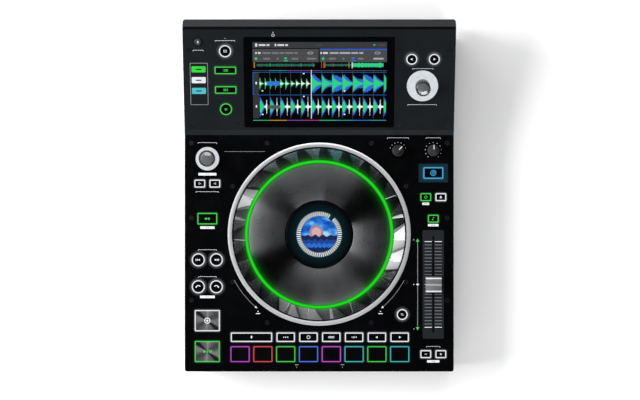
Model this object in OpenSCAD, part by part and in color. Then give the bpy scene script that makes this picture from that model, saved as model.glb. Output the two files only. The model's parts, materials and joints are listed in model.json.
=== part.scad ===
// Tabletop media player for a disc jockey: a large touch wheel with a turbine-bladed flank,
// a tilted display console, lit buttons, pads and a pitch fader.
// The deck faces +Z, +Y is the rear edge and the feet stand on Z = 0. Millimetres.

/* [Case] */
// Width of the case
body_w = 320; // [318:1:332]
// Depth of the case from front to rear
body_d = 416; // [412:1:432]
// Height of the deck surface above the table
deck_h = 68; // [64:1:80]
// Thickness of the outer walls
wall = 2.5; // [2:0.1:3]
// Thickness of the deck and console plates
plate_t = 2.5; // [2:0.1:2.8]
// Corner radius of the case in plan
corner_r = 3; // [2:0.5:5]
// Width of the bevel along the top edges
edge_bevel = 0.8; // [0.4:0.1:1.2]
// Thickness of the bottom sheet
sheet_t = 1.5; // [1:0.1:2]
// Height of the lower edge of the skirt above the bottom sheet
skirt_rise = 8; // [4:0.5:12]
// How far the socket panel is set in from the rear edge
rear_recess = 12; // [11:0.5:16]

/* [Feet] */
// Diameter of each rubber foot
foot_d = 22; // [16:1:26]
// Height of each rubber foot
foot_h = 6; // [5:0.5:10]
// Distance of a foot's centre from the sides
foot_inset = 26; // [20:1:40]

/* [Console] */
// Depth of the raised console
console_d = 134.6; // [134:0.2:138]
// Tilt of the console face in degrees
tilt = 16.5; // [15:0.5:18]
// Depth of the low bevel strip in front of the console face
strip_d = 5.9; // [5:0.1:7]
// Height at which the console face starts above the deck
strip_h = 2.5; // [2:0.1:3]
// Depth of the sloping lip at the rear
lip_d = 9.3; // [8:0.1:11]
// Drop of the rear lip
lip_drop = 8.3; // [6:0.1:10]
// Width of the shadow groove in front of the lip
groove_w = 3.5; // [2:0.1:4]
// Depth of the shadow groove
groove_t = 2; // [1:0.1:2.4]

/* [Screen] */
// Width of the touch screen's glass
glass_w = 177.1; // [170:0.1:178]
// Length of the touch screen's glass up the slope
glass_l = 108.6; // [100:0.1:110]
// Thickness of the glass
glass_t = 1.6; // [1:0.1:1.8]
// Distance of the glass from the foot of the slope
glass_start = 3.3; // [3:0.1:5]
// Margin of glass round the display module
glass_margin = 5; // [4:0.5:8]
// Thickness of the display module behind the glass
module_t = 8; // [5:0.5:9]

/* [Wheel] */
// Distance of the wheel's centre from the front edge
wheel_from_front = 163.5; // [162:0.5:168]
// Outer radius of the wheel
wheel_r = 102; // [99:0.5:103]
// Height of the wheel above the deck
wheel_h = 13.5; // [12:0.5:16]
// Height of the upright band under the blades
band_h = 2; // [1:0.5:3]
// Width of the bladed flank in plan
flank_w = 13; // [11:0.5:14]
// Number of turbine blades round the flank
blade_count = 23; // [18:1:28]
// Share of a blade's pitch that its flat face takes at the outer edge
blade_share = 0.66; // [0.5:0.01:0.7]
// Depth of the cut between two blades at the outer edge
cut_outer = 1.5; // [1:0.1:1.8]
// Depth of the cut between two blades at the inner edge
cut_inner = 2.6; // [2:0.1:3]
// Wall thickness of the wheel's shell
wheel_wall = 3; // [2.8:0.1:3.4]
// Width of the lit ring
light_ring_w = 4.4; // [3:0.1:5]
// Thickness of the top plate and lit ring
top_t = 3.2; // [2.5:0.1:3.6]
// Radius of the fixed centre display
display_r = 39.5; // [36:0.5:42]
// Running gap between the wheel and the trim ring
ring_gap = 1.7; // [1:0.1:2.5]
// Width of the metal trim ring
trim_w = 5.2; // [4:0.1:6]
// Height of the metal trim ring above the deck
trim_h = 1.8; // [1:0.1:2.4]
// Radius of the fixed post that the wheel turns on
post_r = 14; // [11:0.5:16]
// Length of the wheel's bearing hub
hub_l = 15; // [12:1:17]
// Radial clearance in the wheel bearing
bearing_fit = 0.1; // [0.05:0.05:0.2]

/* [Buttons] */
// Height of a button's cap above the plate
cap_rise = 1.6; // [1.3:0.1:2.5]
// Travel of a button
button_travel = 1; // [0.5:0.1:1.1]
// Gap between a button and its hole
button_fit = 0.35; // [0.3:0.05:0.5]
// Width of a button's lit frame
frame_w = 1.5; // [1:0.1:2]
// Depth of the dished face inside the frame
dish_t = 0.35; // [0.2:0.05:0.5]
// Width of the flange that keeps a button in its hole
flange_w = 1; // [0.8:0.1:1.2]
// Thickness of that flange
flange_t = 1.2; // [0.8:0.1:1.6]
// Length of a button's stem
stem_l = 3; // [2:0.5:4]
// Diameter of a button's stem
stem_d = 4; // [3:0.5:5]
// Corner radius of the oblong buttons
key_r = 1.6; // [1:0.1:2.2]
// Width of the cue and play buttons
cue_w = 30.5; // [28:0.5:32]
// Length of the cue and play buttons
cue_l = 25.8; // [24:0.2:27]
// Width of a performance pad
pad_w = 23.3; // [20:0.1:24]
// Length of a performance pad
pad_l = 19.3; // [18:0.1:20]
// Distance between neighbouring pads
pad_pitch = 27.1; // [26.6:0.1:27.4]
// Width of a mode button
mode_w = 22.5; // [18:0.5:23.5]
// Width of the shift button
shift_w = 49.8; // [44:0.2:50.4]
// Length of the mode and shift buttons
mode_l = 11.8; // [10:0.2:13]
// Width of the small oblong buttons
small_w = 13.4; // [11:0.2:14.4]
// Length of the small oblong buttons
small_l = 10; // [8:0.2:11]
// Width of the reverse and vinyl buttons
wide_w = 24.2; // [20:0.2:26]
// Length of the reverse and vinyl buttons
wide_l = 14.3; // [12:0.1:16]
// Diameter of the skip and jump buttons
skip_d = 16.1; // [14:0.1:17]
// Diameter of the view and layer buttons
view_d = 15; // [13:0.5:16]
// Diameter of the slip, back and forward buttons
slip_d = 13.5; // [12:0.1:15]
// Width of the source and shortcut buttons
source_w = 26; // [22:0.5:27]
// Length of the source and shortcut buttons
source_l = 9.7; // [8:0.1:11]
// Diameter of the eject button's cap
eject_d = 7.8; // [6:0.1:9]
// Diameter of the round recess round the eject button
eject_recess_d = 13; // [12:0.5:14]

/* [Layout] */
// Distance of the left button column from the left side
left_inset = 27; // [26:0.5:28]
// Distance of the right button column from the right side
right_inset = 24.4; // [24:0.2:26]
// Distance between the centres of a pair of small buttons
pair_pitch = 17.9; // [17:0.1:18.6]
// Distance between the centres of a pair of round buttons
skip_pitch = 21.4; // [20:0.1:22]
// Distance of the pads from the front edge
pad_row = 20.9; // [20:0.1:22]
// Distance of the mode buttons from the front edge
mode_row = 41; // [40:0.5:43]
// Distance of the play button from the front edge
play_row = 24; // [22:0.5:25]
// Distance of the cue button from the front edge
cue_row = 60.7; // [58:0.1:62]
// Distance of the slip button from the front edge
slip_row = 68; // [66:0.5:70]
// Distance of the jump buttons from the front edge
jump_row = 101; // [98:0.5:103]
// Distance of the skip buttons from the front edge
skip_row = 133; // [130:0.5:136]
// Distance of the side knobs from the console
knob_row = 18.5; // [17:0.1:20]
// Distance of the loop knob from the console
loop_row = 28.2; // [27:0.1:30]
// Distance of the vinyl button from the console
vinyl_row = 45.2; // [44:0.1:46]
// Distance of the loop in and out buttons from the console
in_row = 57.8; // [56:0.1:60]
// Distance of the sync buttons from the console
sync_row = 73.9; // [72:0.1:76]
// Distance of the reverse and key lock buttons from the console
key_row = 99.5; // [97:0.1:101]

/* [Knobs] */
// Diameter of the select knob
select_d = 17.5; // [15:0.5:20]
// Height of the select knob
select_h = 18; // [14:0.5:20]
// Diameter of the lit disc under the select knob
select_halo_d = 36.8; // [34:0.1:37.4]
// Diameter of the loop knob
loop_d = 19.6; // [16:0.1:21]
// Height of the loop knob
loop_h = 14; // [11:0.5:16]
// Diameter of the lit disc under the loop knob
loop_halo_d = 27.8; // [25:0.1:28.6]
// Thickness of the lit discs
halo_t = 1.4; // [1:0.1:1.6]
// Diameter of the two small side knobs
side_knob_d = 13.8; // [11:0.1:15]
// Height of the two small side knobs
side_knob_h = 13; // [10:0.5:15]
// Distance between the two side knobs
side_knob_pitch = 42; // [40:0.5:43]
// Diameter of the knob shafts
shaft_d = 6; // [5:0.1:6.4]
// Push travel of the select and loop knobs
push_travel = 0.8; // [0.4:0.1:1]
// Number of flutes round the select and loop knobs
flute_count = 20; // [12:1:24]
// Running clearance round shafts and inside bores
shaft_fit = 0.4; // [0.3:0.05:0.5]

/* [Pitch fader] */
// Distance of the fader's centre from the front edge
fader_row = 103.7; // [103:0.1:106]
// Full travel of the pitch fader
fader_travel = 100; // [60:1:100]
// Width of the fader's face plate
fader_plate_w = 25.3; // [22:0.1:26]
// Length of the fader's face plate beyond its travel
fader_plate_extra = 29.2; // [28:0.2:32]
// Thickness of the fader's face plate
fader_plate_t = 1; // [0.8:0.1:1.2]
// Width of the fader cap
fader_cap_w = 18.7; // [14:0.1:20]
// Length of the fader cap
fader_cap_l = 19.9; // [14:0.1:20.4]
// Height of the fader cap above the deck
fader_cap_h = 11; // [9:0.5:14]
// Thickness of the fader's stem
fader_stem_t = 1.4; // [1:0.1:1.8]

/* [Sockets] */
// Height of the socket centres above the bottom sheet
socket_rise = 24; // [22:1:30]
// Diameter of a phono socket's barrel
phono_d = 8.3; // [8:0.1:9]
// Diameter of a phono socket's bore
phono_bore = 3.2; // [3:0.1:3.6]
// Length of a phono socket's barrel
phono_l = 9; // [7:0.5:10]
// Width of the mains inlet
inlet_w = 27.5; // [26:0.5:30]
// Height of the mains inlet
inlet_h = 19.6; // [19:0.1:21]
// Depth of the cavity in the mains inlet
inlet_depth = 15; // [13:0.5:17]
// Width of the network socket's opening
network_w = 11.8; // [11.6:0.1:12]
// Height of the network socket's opening
network_h = 8.4; // [8:0.1:9]
// Radius of the power switch's rocker
rocker_r = 6.2; // [5:0.1:6.6]
// Width of the power switch's rocker
rocker_w = 18; // [14:0.5:20]

/* [Fasteners] */
// Diameter of a panel screw's head
head_d = 5.6; // [5:0.1:5.8]
// Depth to which a screw head is sunk
head_t = 1.7; // [1.4:0.1:1.8]
// Diameter of a panel screw's shank
screw_d = 3; // [2.6:0.1:3.2]
// Length of a panel screw
screw_l = 8; // [6:0.5:9]
// Clearance round screws
screw_fit = 0.15; // [0.1:0.05:0.2]
// Diameter of the bosses under the panel screws
boss_d = 6; // [5.6:0.1:6]
// Distance of the outer screws from the sides
screw_inset = 7.9; // [7.5:0.1:8]

/* [Hidden] */
$fn = 48;
eps = 0.01;
seam = 0.3;                                   // gap between neighbouring pieces at rest
trim_t = 1.2;                                 // thickness of small trim, ledges and frames
bevel_side = edge_bevel * sqrt(2);
board_t = 1.6;
switch_h = 3;
switch_w = 6;
crown_t = 3.2;                                // thickness of a push knob's crown above its shaft
field_t = trim_t / 2;                         // depth of the sunk field round the vinyl button
knob_gap = push_travel + 0.5;                 // a push knob's clearance above its lit disc

// Heights
base_z = foot_h;
skirt_z = base_z + skirt_rise;
under_z = deck_h - plate_t;                   // underside of the deck plate
board_drop = plate_t + seam + flange_t + stem_l + button_travel + seam + switch_h;

// Console profile
console_y = body_d / 2 - console_d;
face_y = console_y + strip_d;
crest_y = body_d / 2 - lip_d - groove_w;
face_rise = (crest_y - face_y) * tan(tilt);
crest_h = strip_h + face_rise;
face_l = (crest_y - face_y) / cos(tilt);
groove_h = crest_h - groove_t;
lip_y = body_d / 2 - lip_d;
CONSOLE_OUTER = [
    [console_y, 0], [face_y, strip_h], [crest_y, crest_h], [crest_y, groove_h], [lip_y, groove_h],
    [lip_y, crest_h - trim_t / 2], [body_d / 2, crest_h - trim_t / 2 - lip_drop], [body_d / 2, 0]
];
roof_drop = plate_t / cos(tilt);
function roof_h(y) = strip_h - roof_drop + (y - face_y) * tan(tilt);
roof_y = face_y + (roof_drop - strip_h) / tan(tilt);
back_h = crest_h - trim_t / 2 - lip_drop * (lip_d - wall) / lip_d - plate_t * 1.4;
inner_y = max(roof_y, console_y + wall);
CONSOLE_INNER = [
    [inner_y, -eps], [inner_y, max(-eps, roof_h(console_y + wall))],
    [crest_y - plate_t, roof_h(crest_y - plate_t)], [crest_y, groove_h - plate_t],
    [lip_y, groove_h - plate_t], [body_d / 2 - wall, back_h], [body_d / 2 - wall, -eps]
];

// Wheel
wheel_y = wheel_from_front - body_d / 2;
well_r = wheel_r + ring_gap;
trim_r = well_r + trim_w;
rim_r = wheel_r - flank_w;                    // inner edge of the bladed flank
flank_rise = wheel_h - band_h - trim_t / 2;    // height climbed by the flank
flank_slope = atan(flank_rise / flank_w);
ledge_h = wheel_h - top_t - trim_t / 4;        // floor that carries the top plate
light_r = rim_r - trim_t / 2;
inner_r = display_r + 1.5;
hub_r = post_r + 4;
hub_top = -3;
skirt_drop = 4;
blade_step = 360 / blade_count;
display_h = wheel_h;
display_t = 5;
post_foot_r = post_r + 32;

// Places on the deck
left_x = left_inset - body_w / 2;
right_x = body_w / 2 - right_inset;
front_y = -body_d / 2;
pads_x = 0.8;
window_w = 16.4;
window_l = 7.1;
side_w = (body_w - glass_w) / 2;              // width of the console face beside the glass
column_gap = (side_w - source_w - window_w) / 3;
inner_column_x = glass_w / 2 + column_gap + source_w / 2 - 1;
column_x = body_w / 2 - column_gap - window_w / 2 - 0.2;
select_x = glass_w / 2 + side_w / 2 - 2.5;
function pad_x(i) = pads_x + pad_pitch * (i - 3.5);
knob_x = right_x;
tension_x = right_x - side_knob_pitch;
fader_y = front_y + fader_row;
page_pitch = 26.4;                            // between the back and forward buttons
eject_t = face_l - 14.5;
back_t = face_l - 35.1;
select_t = back_t - 32.4;
view_t = face_l - 25.5;
source_t = view_t - 22.9;
shortcut_t = source_t - 23.5;
layer_t = shortcut_t - 23.3;
window_pitch = 12.95;
glass_r = 1.5;                                // corner radius of the glass
window_t = source_t - window_pitch + 0.8;        // middle status window

// Buttons on the deck: name, x, y, width, length, corner radius
function round_key(name, x, y, d) = [name, x, y, d, d, d / 2];
DECK_BUTTONS = concat(
    [
        ["loop_in_button", left_x - pair_pitch / 2, console_y - in_row, small_w, small_l, key_r],
        ["loop_out_button", left_x + pair_pitch / 2, console_y - in_row, small_w, small_l, key_r],
        ["reverse_button", left_x, console_y - key_row, wide_w, wide_l, key_r],
        round_key("skip_back_button", left_x - skip_pitch / 2, front_y + skip_row, skip_d),
        round_key("skip_forward_button", left_x + skip_pitch / 2, front_y + skip_row, skip_d),
        round_key("jump_back_button", left_x - skip_pitch / 2, front_y + jump_row, skip_d),
        round_key("jump_forward_button", left_x + skip_pitch / 2, front_y + jump_row, skip_d),
        ["cue_button", left_x, front_y + cue_row, cue_w, cue_l, key_r],
        ["play_button", left_x, front_y + play_row, cue_w, cue_l, key_r],
        ["shift_button", (pad_x(0) + pad_x(1)) / 2, front_y + mode_row, shift_w, mode_l, key_r],
        round_key("slip_button", pad_x(7) + 3, front_y + slip_row, slip_d),
        ["vinyl_button", right_x, console_y - vinyl_row, wide_w, wide_l, key_r],
        ["sync_button", right_x - pair_pitch / 2, console_y - sync_row, small_w, small_l, key_r],
        ["master_button", right_x + pair_pitch / 2, console_y - sync_row, small_w, small_l, key_r],
        ["key_lock_button", right_x, console_y - key_row, small_w, small_l, key_r],
        ["bend_minus_button", right_x - pair_pitch / 2, front_y + pad_row, small_w, small_l, key_r],
        ["bend_plus_button", right_x + pair_pitch / 2, front_y + pad_row, small_w, small_l, key_r]
    ],
    [for (i = [0:5]) [
        i < 4 ? str("mode_button_", i + 1) : i == 4 ? "page_left_button" : "page_right_button",
        pad_x(i + 2), front_y + mode_row, mode_w, mode_l, key_r
    ]],
    [for (i = [0:7]) [str("pad_", i + 1), pad_x(i), front_y + pad_row, pad_w, pad_l, key_r]]
);
// Buttons on the console face: the second place is measured up the slope
FACE_BUTTONS = [
    round_key("eject_button", -column_x, eject_t, eject_d),
    round_key("view_button", -inner_column_x, view_t, view_d),
    ["source_button", -inner_column_x, source_t, source_w, source_l, key_r],
    ["shortcut_button", -inner_column_x, shortcut_t, source_w, source_l, key_r],
    round_key("layer_button", -inner_column_x, layer_t, view_d),
    round_key("back_button", select_x - page_pitch / 2, back_t, slip_d),
    round_key("forward_button", select_x + page_pitch / 2, back_t, slip_d)
];

// Screws
outer_screw_x = body_w / 2 - screw_inset;
inner_screw_x = 62;
screw_row = 9.6;                              // from the console to the rear row of screws
side_screw_row = 84.8;                        // from the front to the side screws
front_screw_row = 58.3;                       // from the front to the screws above the pads
ring_screw_r = trim_r + 8.8;
ring_screw_angle = 28.9;
DECK_SCREWS = concat(
    [for (s = [-1, 1], y = [console_y - screw_row, console_y - key_row + 1, front_y + side_screw_row])
        [s * outer_screw_x, y]],
    [for (s = [-1, 1], y = [console_y - screw_row, front_y + front_screw_row])
        [s * inner_screw_x, y]],
    [for (s = [-1, 1], t = [-1, 1]) [
        s * ring_screw_r * cos(ring_screw_angle), wheel_y + t * ring_screw_r * sin(ring_screw_angle)
    ]]
);
glass_screw_x = glass_w / 2 + 6.6;
FACE_SCREWS = [
    for (x = [glass_screw_x, outer_screw_x], s = [-1, 1], t = [5.8, face_l - 23.9]) [s * x, t]
];

// Sockets on the rear panel
panel_y = body_d / 2 - rear_recess;           // outer face of the rear panel
socket_z = base_z + socket_rise;
socket_board_z = socket_z - inlet_h / 2 - board_t - seam;
socket_board_w = body_w - 28;
socket_board_l = 44.5;
PHONO_X = [14, 30, 50, 66, 88, 104];
network_x = -14;
data_x = -38;
inlet_x = -112;
rocker_x = -78;
bezel_w = rocker_w + 2 * (shaft_fit + trim_t);
bezel_h = 2 * (rocker_r + shaft_fit + trim_t);
inlet_pin = 2;
network_body_w = network_w + 4.2;
network_body_h = network_h + 5;
data_w = 12;
data_h = 10.8;
port_x = 27.6;
card_x = -26.8;
port_w = 14.4;
port_h = 7;
card_w = 28;
card_h = 4.4;
port_z = deck_h - board_drop - board_t - port_h / 2;
card_z = deck_h - board_drop - board_t - card_h / 2;

// Fader
fader_plate_l = fader_travel + fader_plate_extra;
channel_w = 13;
channel_l = fader_travel + 20;
channel_wall = 1.4;
fader_slot_w = fader_stem_t + 2 * shaft_fit;
carriage_w = channel_w - 2 * channel_wall - 2 * shaft_fit;
carriage_l = 12;
channel_bottom = -board_drop;
cap_lift = 1.2;                               // finger cap's clearance above the plate
cap_lean = 1;                                 // how far each end of the cap leans in
cap_ridge = 1.5;                              // width of a ridge's slopes
cap_step = 1.5;                               // depth of the saddle below the ridges

// Boards and air slots in the bottom
main_w = 140;
main_l = 74;
main_y = panel_y - socket_board_l - main_l - 3 * boss_d;
power_w = 70;
power_l = 58;
vent_pitch = 12;
vent_w = 3;

// ---------- shared shapes ----------

// Rounded oblong, or a disc where the corners meet
module oblong(w, l, r) {
    if (w > 2 * r) {
        square([w - 2 * r, l], center = true);
        square([w, l - 2 * r], center = true);
        for (x = [-1, 1], y = [-1, 1]) translate([x * (w / 2 - r), y * (l / 2 - r)]) circle(r);
    } else {
        circle(w / 2);
    }
}

module slab(w, l, r, h) {
    linear_extrude(h) oblong(w, l, r);
}

module tube(r_out, r_in, h) {
    difference() {
        cylinder(h, r = r_out);
        translate([0, 0, -eps]) cylinder(h + 2 * eps, r = r_in);
    }
}

module at_deck(x, y) {
    translate([x, y, deck_h]) children();
}

module at_face(x, t) {
    translate([0, face_y, deck_h + strip_h]) rotate([tilt, 0, 0]) translate([x, t, 0]) children();
}

module at_wheel() {
    translate([0, wheel_y, deck_h]) children();
}

module along_x(length) {
    translate([-length / 2, 0, 0]) rotate([90, 0, 90]) linear_extrude(length) children();
}

// Hole for a button in a plate whose face is at Z = 0
module button_hole(b) {
    translate([0, 0, -plate_t - 1])
        slab(b[3] + 2 * button_fit, b[4] + 2 * button_fit, b[5] + button_fit, plate_t + 2);
}

// Cap with a raised frame round a dished face, a retaining flange and a stem
module button(b) {
    w = b[3];
    l = b[4];
    r = b[5];
    flange_z = -plate_t - seam - flange_t;
    face_w = frame_w * min(1, w / small_w);
    difference() {
        union() {
            translate([0, 0, flange_z + flange_t / 2]) slab(w, l, r, cap_rise - flange_z - flange_t / 2);
            translate([0, 0, flange_z]) slab(w + 2 * flange_w, l + 2 * flange_w, r + flange_w, flange_t);
            translate([0, 0, flange_z - stem_l]) cylinder(stem_l + flange_t / 2, d = stem_d);
        }
        translate([0, 0, cap_rise - dish_t])
            slab(w - 2 * face_w, l - 2 * face_w, max(r - face_w, 0.4), dish_t + 1);
    }
}

// Round boss under a plate, with the screw's seat and bore cut by screw_cut
module boss() {
    translate([0, 0, -board_drop]) cylinder(board_drop - plate_t / 2, d = boss_d);
}

module screw_cut() {
    translate([0, 0, -head_t]) cylinder(head_t + 1, d = head_d + 2 * seam);
    translate([0, 0, -board_drop - 1]) cylinder(board_drop + 1, d = screw_d + 2 * screw_fit);
}

module screw() {
    difference() {
        union() {
            translate([0, 0, -head_t]) cylinder(head_t - 0.2, d = head_d);
            translate([0, 0, -screw_l]) cylinder(screw_l, d = screw_d);
        }
        translate([0, 0, -head_t / 2 - 0.2]) cylinder(head_t, d = head_d / 2, $fn = 6);
        translate([0, 0, -0.2]) cylinder(1, d = screw_d + 1);
    }
}

// ---------- fixed pieces ----------

module bottom_chassis() {
    inset = wall + seam;
    pan_w = body_w - 2 * inset;
    pan_front = front_y + inset;
    pan_d = panel_y - pan_front;
    pan_h = 34;
    color("#2a2b2d") difference() {
        union() {
            translate([0, pan_front + pan_d / 2, base_z]) difference() {
                slab(pan_w, pan_d, corner_r - 1, pan_h);
                translate([0, 0, sheet_t])
                    slab(pan_w - 2 * sheet_t, pan_d - 2 * sheet_t, corner_r - 1.8, pan_h);
            }
            translate([-pan_w / 2, panel_y - sheet_t, base_z])
                cube([pan_w, sheet_t, under_z - seam - base_z]);
            for (x = [-1, 0, 1], y = [boss_d, socket_board_l - boss_d])
                translate([x * (socket_board_w / 2 - boss_d), panel_y - sheet_t - y, base_z])
                    cylinder(socket_board_z - base_z, d = boss_d);
            for (x = [-1, 1], y = [boss_d, main_l - boss_d])
                translate([x * (main_w / 2 - boss_d), main_y + y, base_z])
                    cylinder(sheet_t + boss_d, d = boss_d);
        }
        // Air slots under the boards
        for (s = [-1, 1], i = [-4:4])
            translate([s * pan_w * 0.286, wheel_y + i * vent_pitch, base_z - 1])
                slab(pan_w * 0.16, vent_w, vent_w / 2 - 0.1, sheet_t + 2);
        socket_cuts();
    }
}

module socket_cuts() {
    for (x = PHONO_X) translate([x, panel_y + 1, socket_z]) rotate([90, 0, 0])
        cylinder(sheet_t + 2, d = phono_d + 2 * seam);
    rear_cut(network_x, network_body_w, network_body_h);
    rear_cut(data_x, data_w, data_h);
    rear_cut(inlet_x, inlet_w, inlet_h);
    rear_cut(rocker_x, bezel_w, bezel_h);
}

module rear_cut(x, w, h) {
    translate([x - w / 2 - seam, panel_y - sheet_t - 1, socket_z - h / 2 - seam])
        cube([w + 2 * seam, sheet_t + 2, h + 2 * seam]);
}

module deck_panel() {
    color("#17181a") difference() {
        union() {
            difference() {
                translate([0, 0, skirt_z]) slab(body_w, body_d, corner_r, deck_h - skirt_z);
                translate([-body_w / 2 + wall, front_y + wall, skirt_z - 1])
                    cube([body_w - 2 * wall, body_d, under_z - skirt_z + 1]);
                // The case is open into the console
                translate([-body_w / 2 + wall, console_y + 3 * wall, under_z - 1])
                    cube([body_w - 2 * wall, console_d - 5 * wall, plate_t + 2]);
            }
            for (s = DECK_SCREWS) at_deck(s[0], s[1]) boss();
        }
        for (s = DECK_SCREWS) at_deck(s[0], s[1]) screw_cut();
        for (b = DECK_BUTTONS) at_deck(b[1], b[2]) button_hole(b);
        at_wheel() translate([0, 0, -plate_t - 1]) cylinder(plate_t + 2, r = well_r + trim_t + seam);
        // Sunk field round the vinyl button
        at_deck(right_x, console_y - vinyl_row) translate([0, 0, -field_t])
            slab(wide_w + 11.4, wide_l + 8.4, key_r, 2);
        // Loop knob's lit disc and the three shafts
        at_deck(left_x, console_y - loop_row) halo_cut(loop_halo_d);
        for (x = [tension_x, knob_x]) at_deck(x, console_y - knob_row)
            translate([0, 0, -plate_t - 1]) cylinder(plate_t + 2, d = shaft_d + 2 * shaft_fit);
        fader_cut();
        for (s = [-1, 1]) edge_cut(s);
        front_edge_cut();
        // Ports in the front wall
        translate([port_x - port_w / 2 - seam, front_y - 1, port_z - port_h / 2 - seam])
            cube([port_w + 2 * seam, wall + 2, port_h + 2 * seam]);
        translate([card_x - card_w / 2 - seam, front_y - 1, card_z - card_h / 2 - seam])
            cube([card_w + 2 * seam, wall + 2, card_h + 2 * seam]);
    }
}

module halo_cut(d) {
    translate([0, 0, -halo_t]) cylinder(halo_t + 1, d = d + 2 * seam);
    translate([0, 0, -plate_t - 1]) cylinder(plate_t + 1, d = shaft_d + 2 * shaft_fit + 2);
}

module fader_cut() {
    at_deck(right_x, fader_y) {
        translate([0, 0, -fader_plate_t])
            slab(fader_plate_w + 2 * seam, fader_plate_l + 2 * seam, 2 + seam, fader_plate_t + 1);
        translate([0, 0, -plate_t - 1])
            slab(channel_w + 2 * seam, channel_l + 2 * seam, 1, plate_t + 1);
    }
}

// Bevels along the top edges
module edge_cut(side) {
    translate([side * body_w / 2, (front_y + console_y) / 2, deck_h]) rotate([0, 45, 0])
        cube([bevel_side, console_y - front_y + 2, bevel_side], center = true);
}

module front_edge_cut() {
    translate([0, front_y, deck_h])
        rotate([45, 0, 0]) cube([body_w + 2, bevel_side, bevel_side], center = true);
}

module display_console() {
    color("#2c2e31") difference() {
        union() {
            difference() {
                intersection() {
                    translate([0, 0, deck_h]) along_x(body_w) polygon(CONSOLE_OUTER);
                    translate([0, 0, deck_h - 1]) slab(body_w, body_d, corner_r, crest_h + 2);
                }
                translate([0, 0, deck_h]) along_x(body_w - 2 * wall) polygon(CONSOLE_INNER);
            }
            for (s = FACE_SCREWS) at_face(s[0], s[1]) boss();
        }
        for (s = FACE_SCREWS) at_face(s[0], s[1]) screw_cut();
        for (b = FACE_BUTTONS) at_face(b[1], b[2]) button_hole(b);
        at_face(-column_x, eject_t) translate([0, 0, -trim_t / 2]) cylinder(2, d = eject_recess_d);
        at_face(select_x, select_t) halo_cut(select_halo_d);
        for (i = [-1:1]) at_face(-column_x, window_t + i * window_pitch)
            translate([0, 0, -plate_t - 1])
                slab(window_w + 2 * seam, window_l + 2 * seam, 1 + seam, plate_t + 2);
        at_face(0, glass_start + glass_l / 2) {
            translate([0, 0, -glass_t])
                slab(glass_w + 2 * seam, glass_l + 2 * seam, glass_r + seam, glass_t + 4);
            translate([0, 0, -plate_t - 6]) slab(
                glass_w - 2 * glass_margin + 2 * seam, glass_l - 2 * glass_margin + 2 * seam, 1, plate_t + 6
            );
        }
        // Bevels along the two raking edges
        for (s = [-1, 1]) at_face(s * body_w / 2, face_l / 2)
            rotate([0, 45, 0]) cube([bevel_side, face_l + 2, bevel_side], center = true);
    }
}

module touch_screen() {
    color("#08090b") at_face(0, glass_start + glass_l / 2) {
        translate([0, 0, -glass_t]) slab(glass_w, glass_l, glass_r, glass_t);
        translate([0, 0, -glass_t - module_t])
            slab(glass_w - 2 * glass_margin, glass_l - 2 * glass_margin, 1, module_t + eps);
    }
}

module feet() {
    foot_x = body_w / 2 - foot_inset;
    foot_y = body_d / 2 - foot_inset - rear_recess;
    color("#1b1b1b") for (x = [-foot_x, foot_x], y = [-foot_y, foot_y])
        translate([x, y, 0]) rotate_extrude() polygon([
            [0, 0], [foot_d / 2 - 2, 0], [foot_d / 2 - 1, 1], [foot_d / 2, foot_h - 1],
            [foot_d / 2, foot_h], [0, foot_h]
        ]);
}

module panel_screws() {
    color("#1e1f21") {
        for (s = DECK_SCREWS) at_deck(s[0], s[1]) screw();
        for (s = FACE_SCREWS) at_face(s[0], s[1]) screw();
    }
}

// Push switch on a board whose top is board_drop under the plate
module tact_switch() {
    translate([-switch_w / 2, -switch_w / 2, -board_drop - eps]) cube([switch_w, switch_w, switch_h]);
}

// Encoder or potentiometer body that takes a knob's shaft
module shaft_body(w) {
    difference() {
        translate([-w / 2, -w / 2, -board_drop - eps]) cube([w, w, 5]);
        translate([0, 0, -board_drop - 1]) cylinder(8, d = shaft_d + 2 * shaft_fit);
    }
}

module circuit_boards() {
    margin = wall + 3;
    deck_board_l = console_y - front_y - margin;
    color("#1f5a37") {
        // Button board under the deck, open round the wheel, with the ports on its front edge
        union() {
            translate([0, front_y + margin + deck_board_l / 2, deck_h - board_drop - board_t])
                linear_extrude(board_t) difference() {
                    square([body_w - 2 * margin, deck_board_l], center = true);
                    translate([0, wheel_y - front_y - margin - deck_board_l / 2]) circle(well_r + 5);
                }
            for (b = DECK_BUTTONS) at_deck(b[1], b[2]) tact_switch();
            at_deck(left_x, console_y - loop_row) shaft_body(12);
            for (x = [tension_x, knob_x]) at_deck(x, console_y - knob_row) shaft_body(10);
            front_ports();
        }
        // Boards behind the console face
        for (s = [-1, 1]) face_board(s);
        main_board();
        power_board();
    }
}

module front_ports() {
    depth = 18;
    translate([port_x, front_y, port_z]) difference() {
        translate([-port_w / 2, 0.2, -port_h / 2]) cube([port_w, depth, port_h + eps]);
        translate([-port_w / 2 + 0.8, -1, -port_h / 2 + 0.9]) cube([port_w - 1.6, depth - 3, 2.6]);
    }
    translate([card_x, front_y, card_z]) difference() {
        translate([-card_w / 2, 0.2, -card_h / 2]) cube([card_w, depth + 8, card_h + eps]);
        translate([-card_w / 2 + 1.6, -1, -card_h / 2 + 0.9]) cube([card_w - 3.2, depth, 2.5]);
    }
}

module face_board(side) {
    inner = glass_w / 2 + seam + 1;
    outer = body_w / 2 - wall - 2;
    at_face(side * (inner + outer) / 2, face_l / 2)
        translate([-(outer - inner) / 2, -face_l / 2 + 2, -board_drop - board_t])
            cube([outer - inner, face_l - 6, board_t]);
    for (b = FACE_BUTTONS) if (b[1] * side > 0) at_face(b[1], b[2]) tact_switch();
    if (side > 0) at_face(select_x, select_t) shaft_body(12);
}

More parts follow.
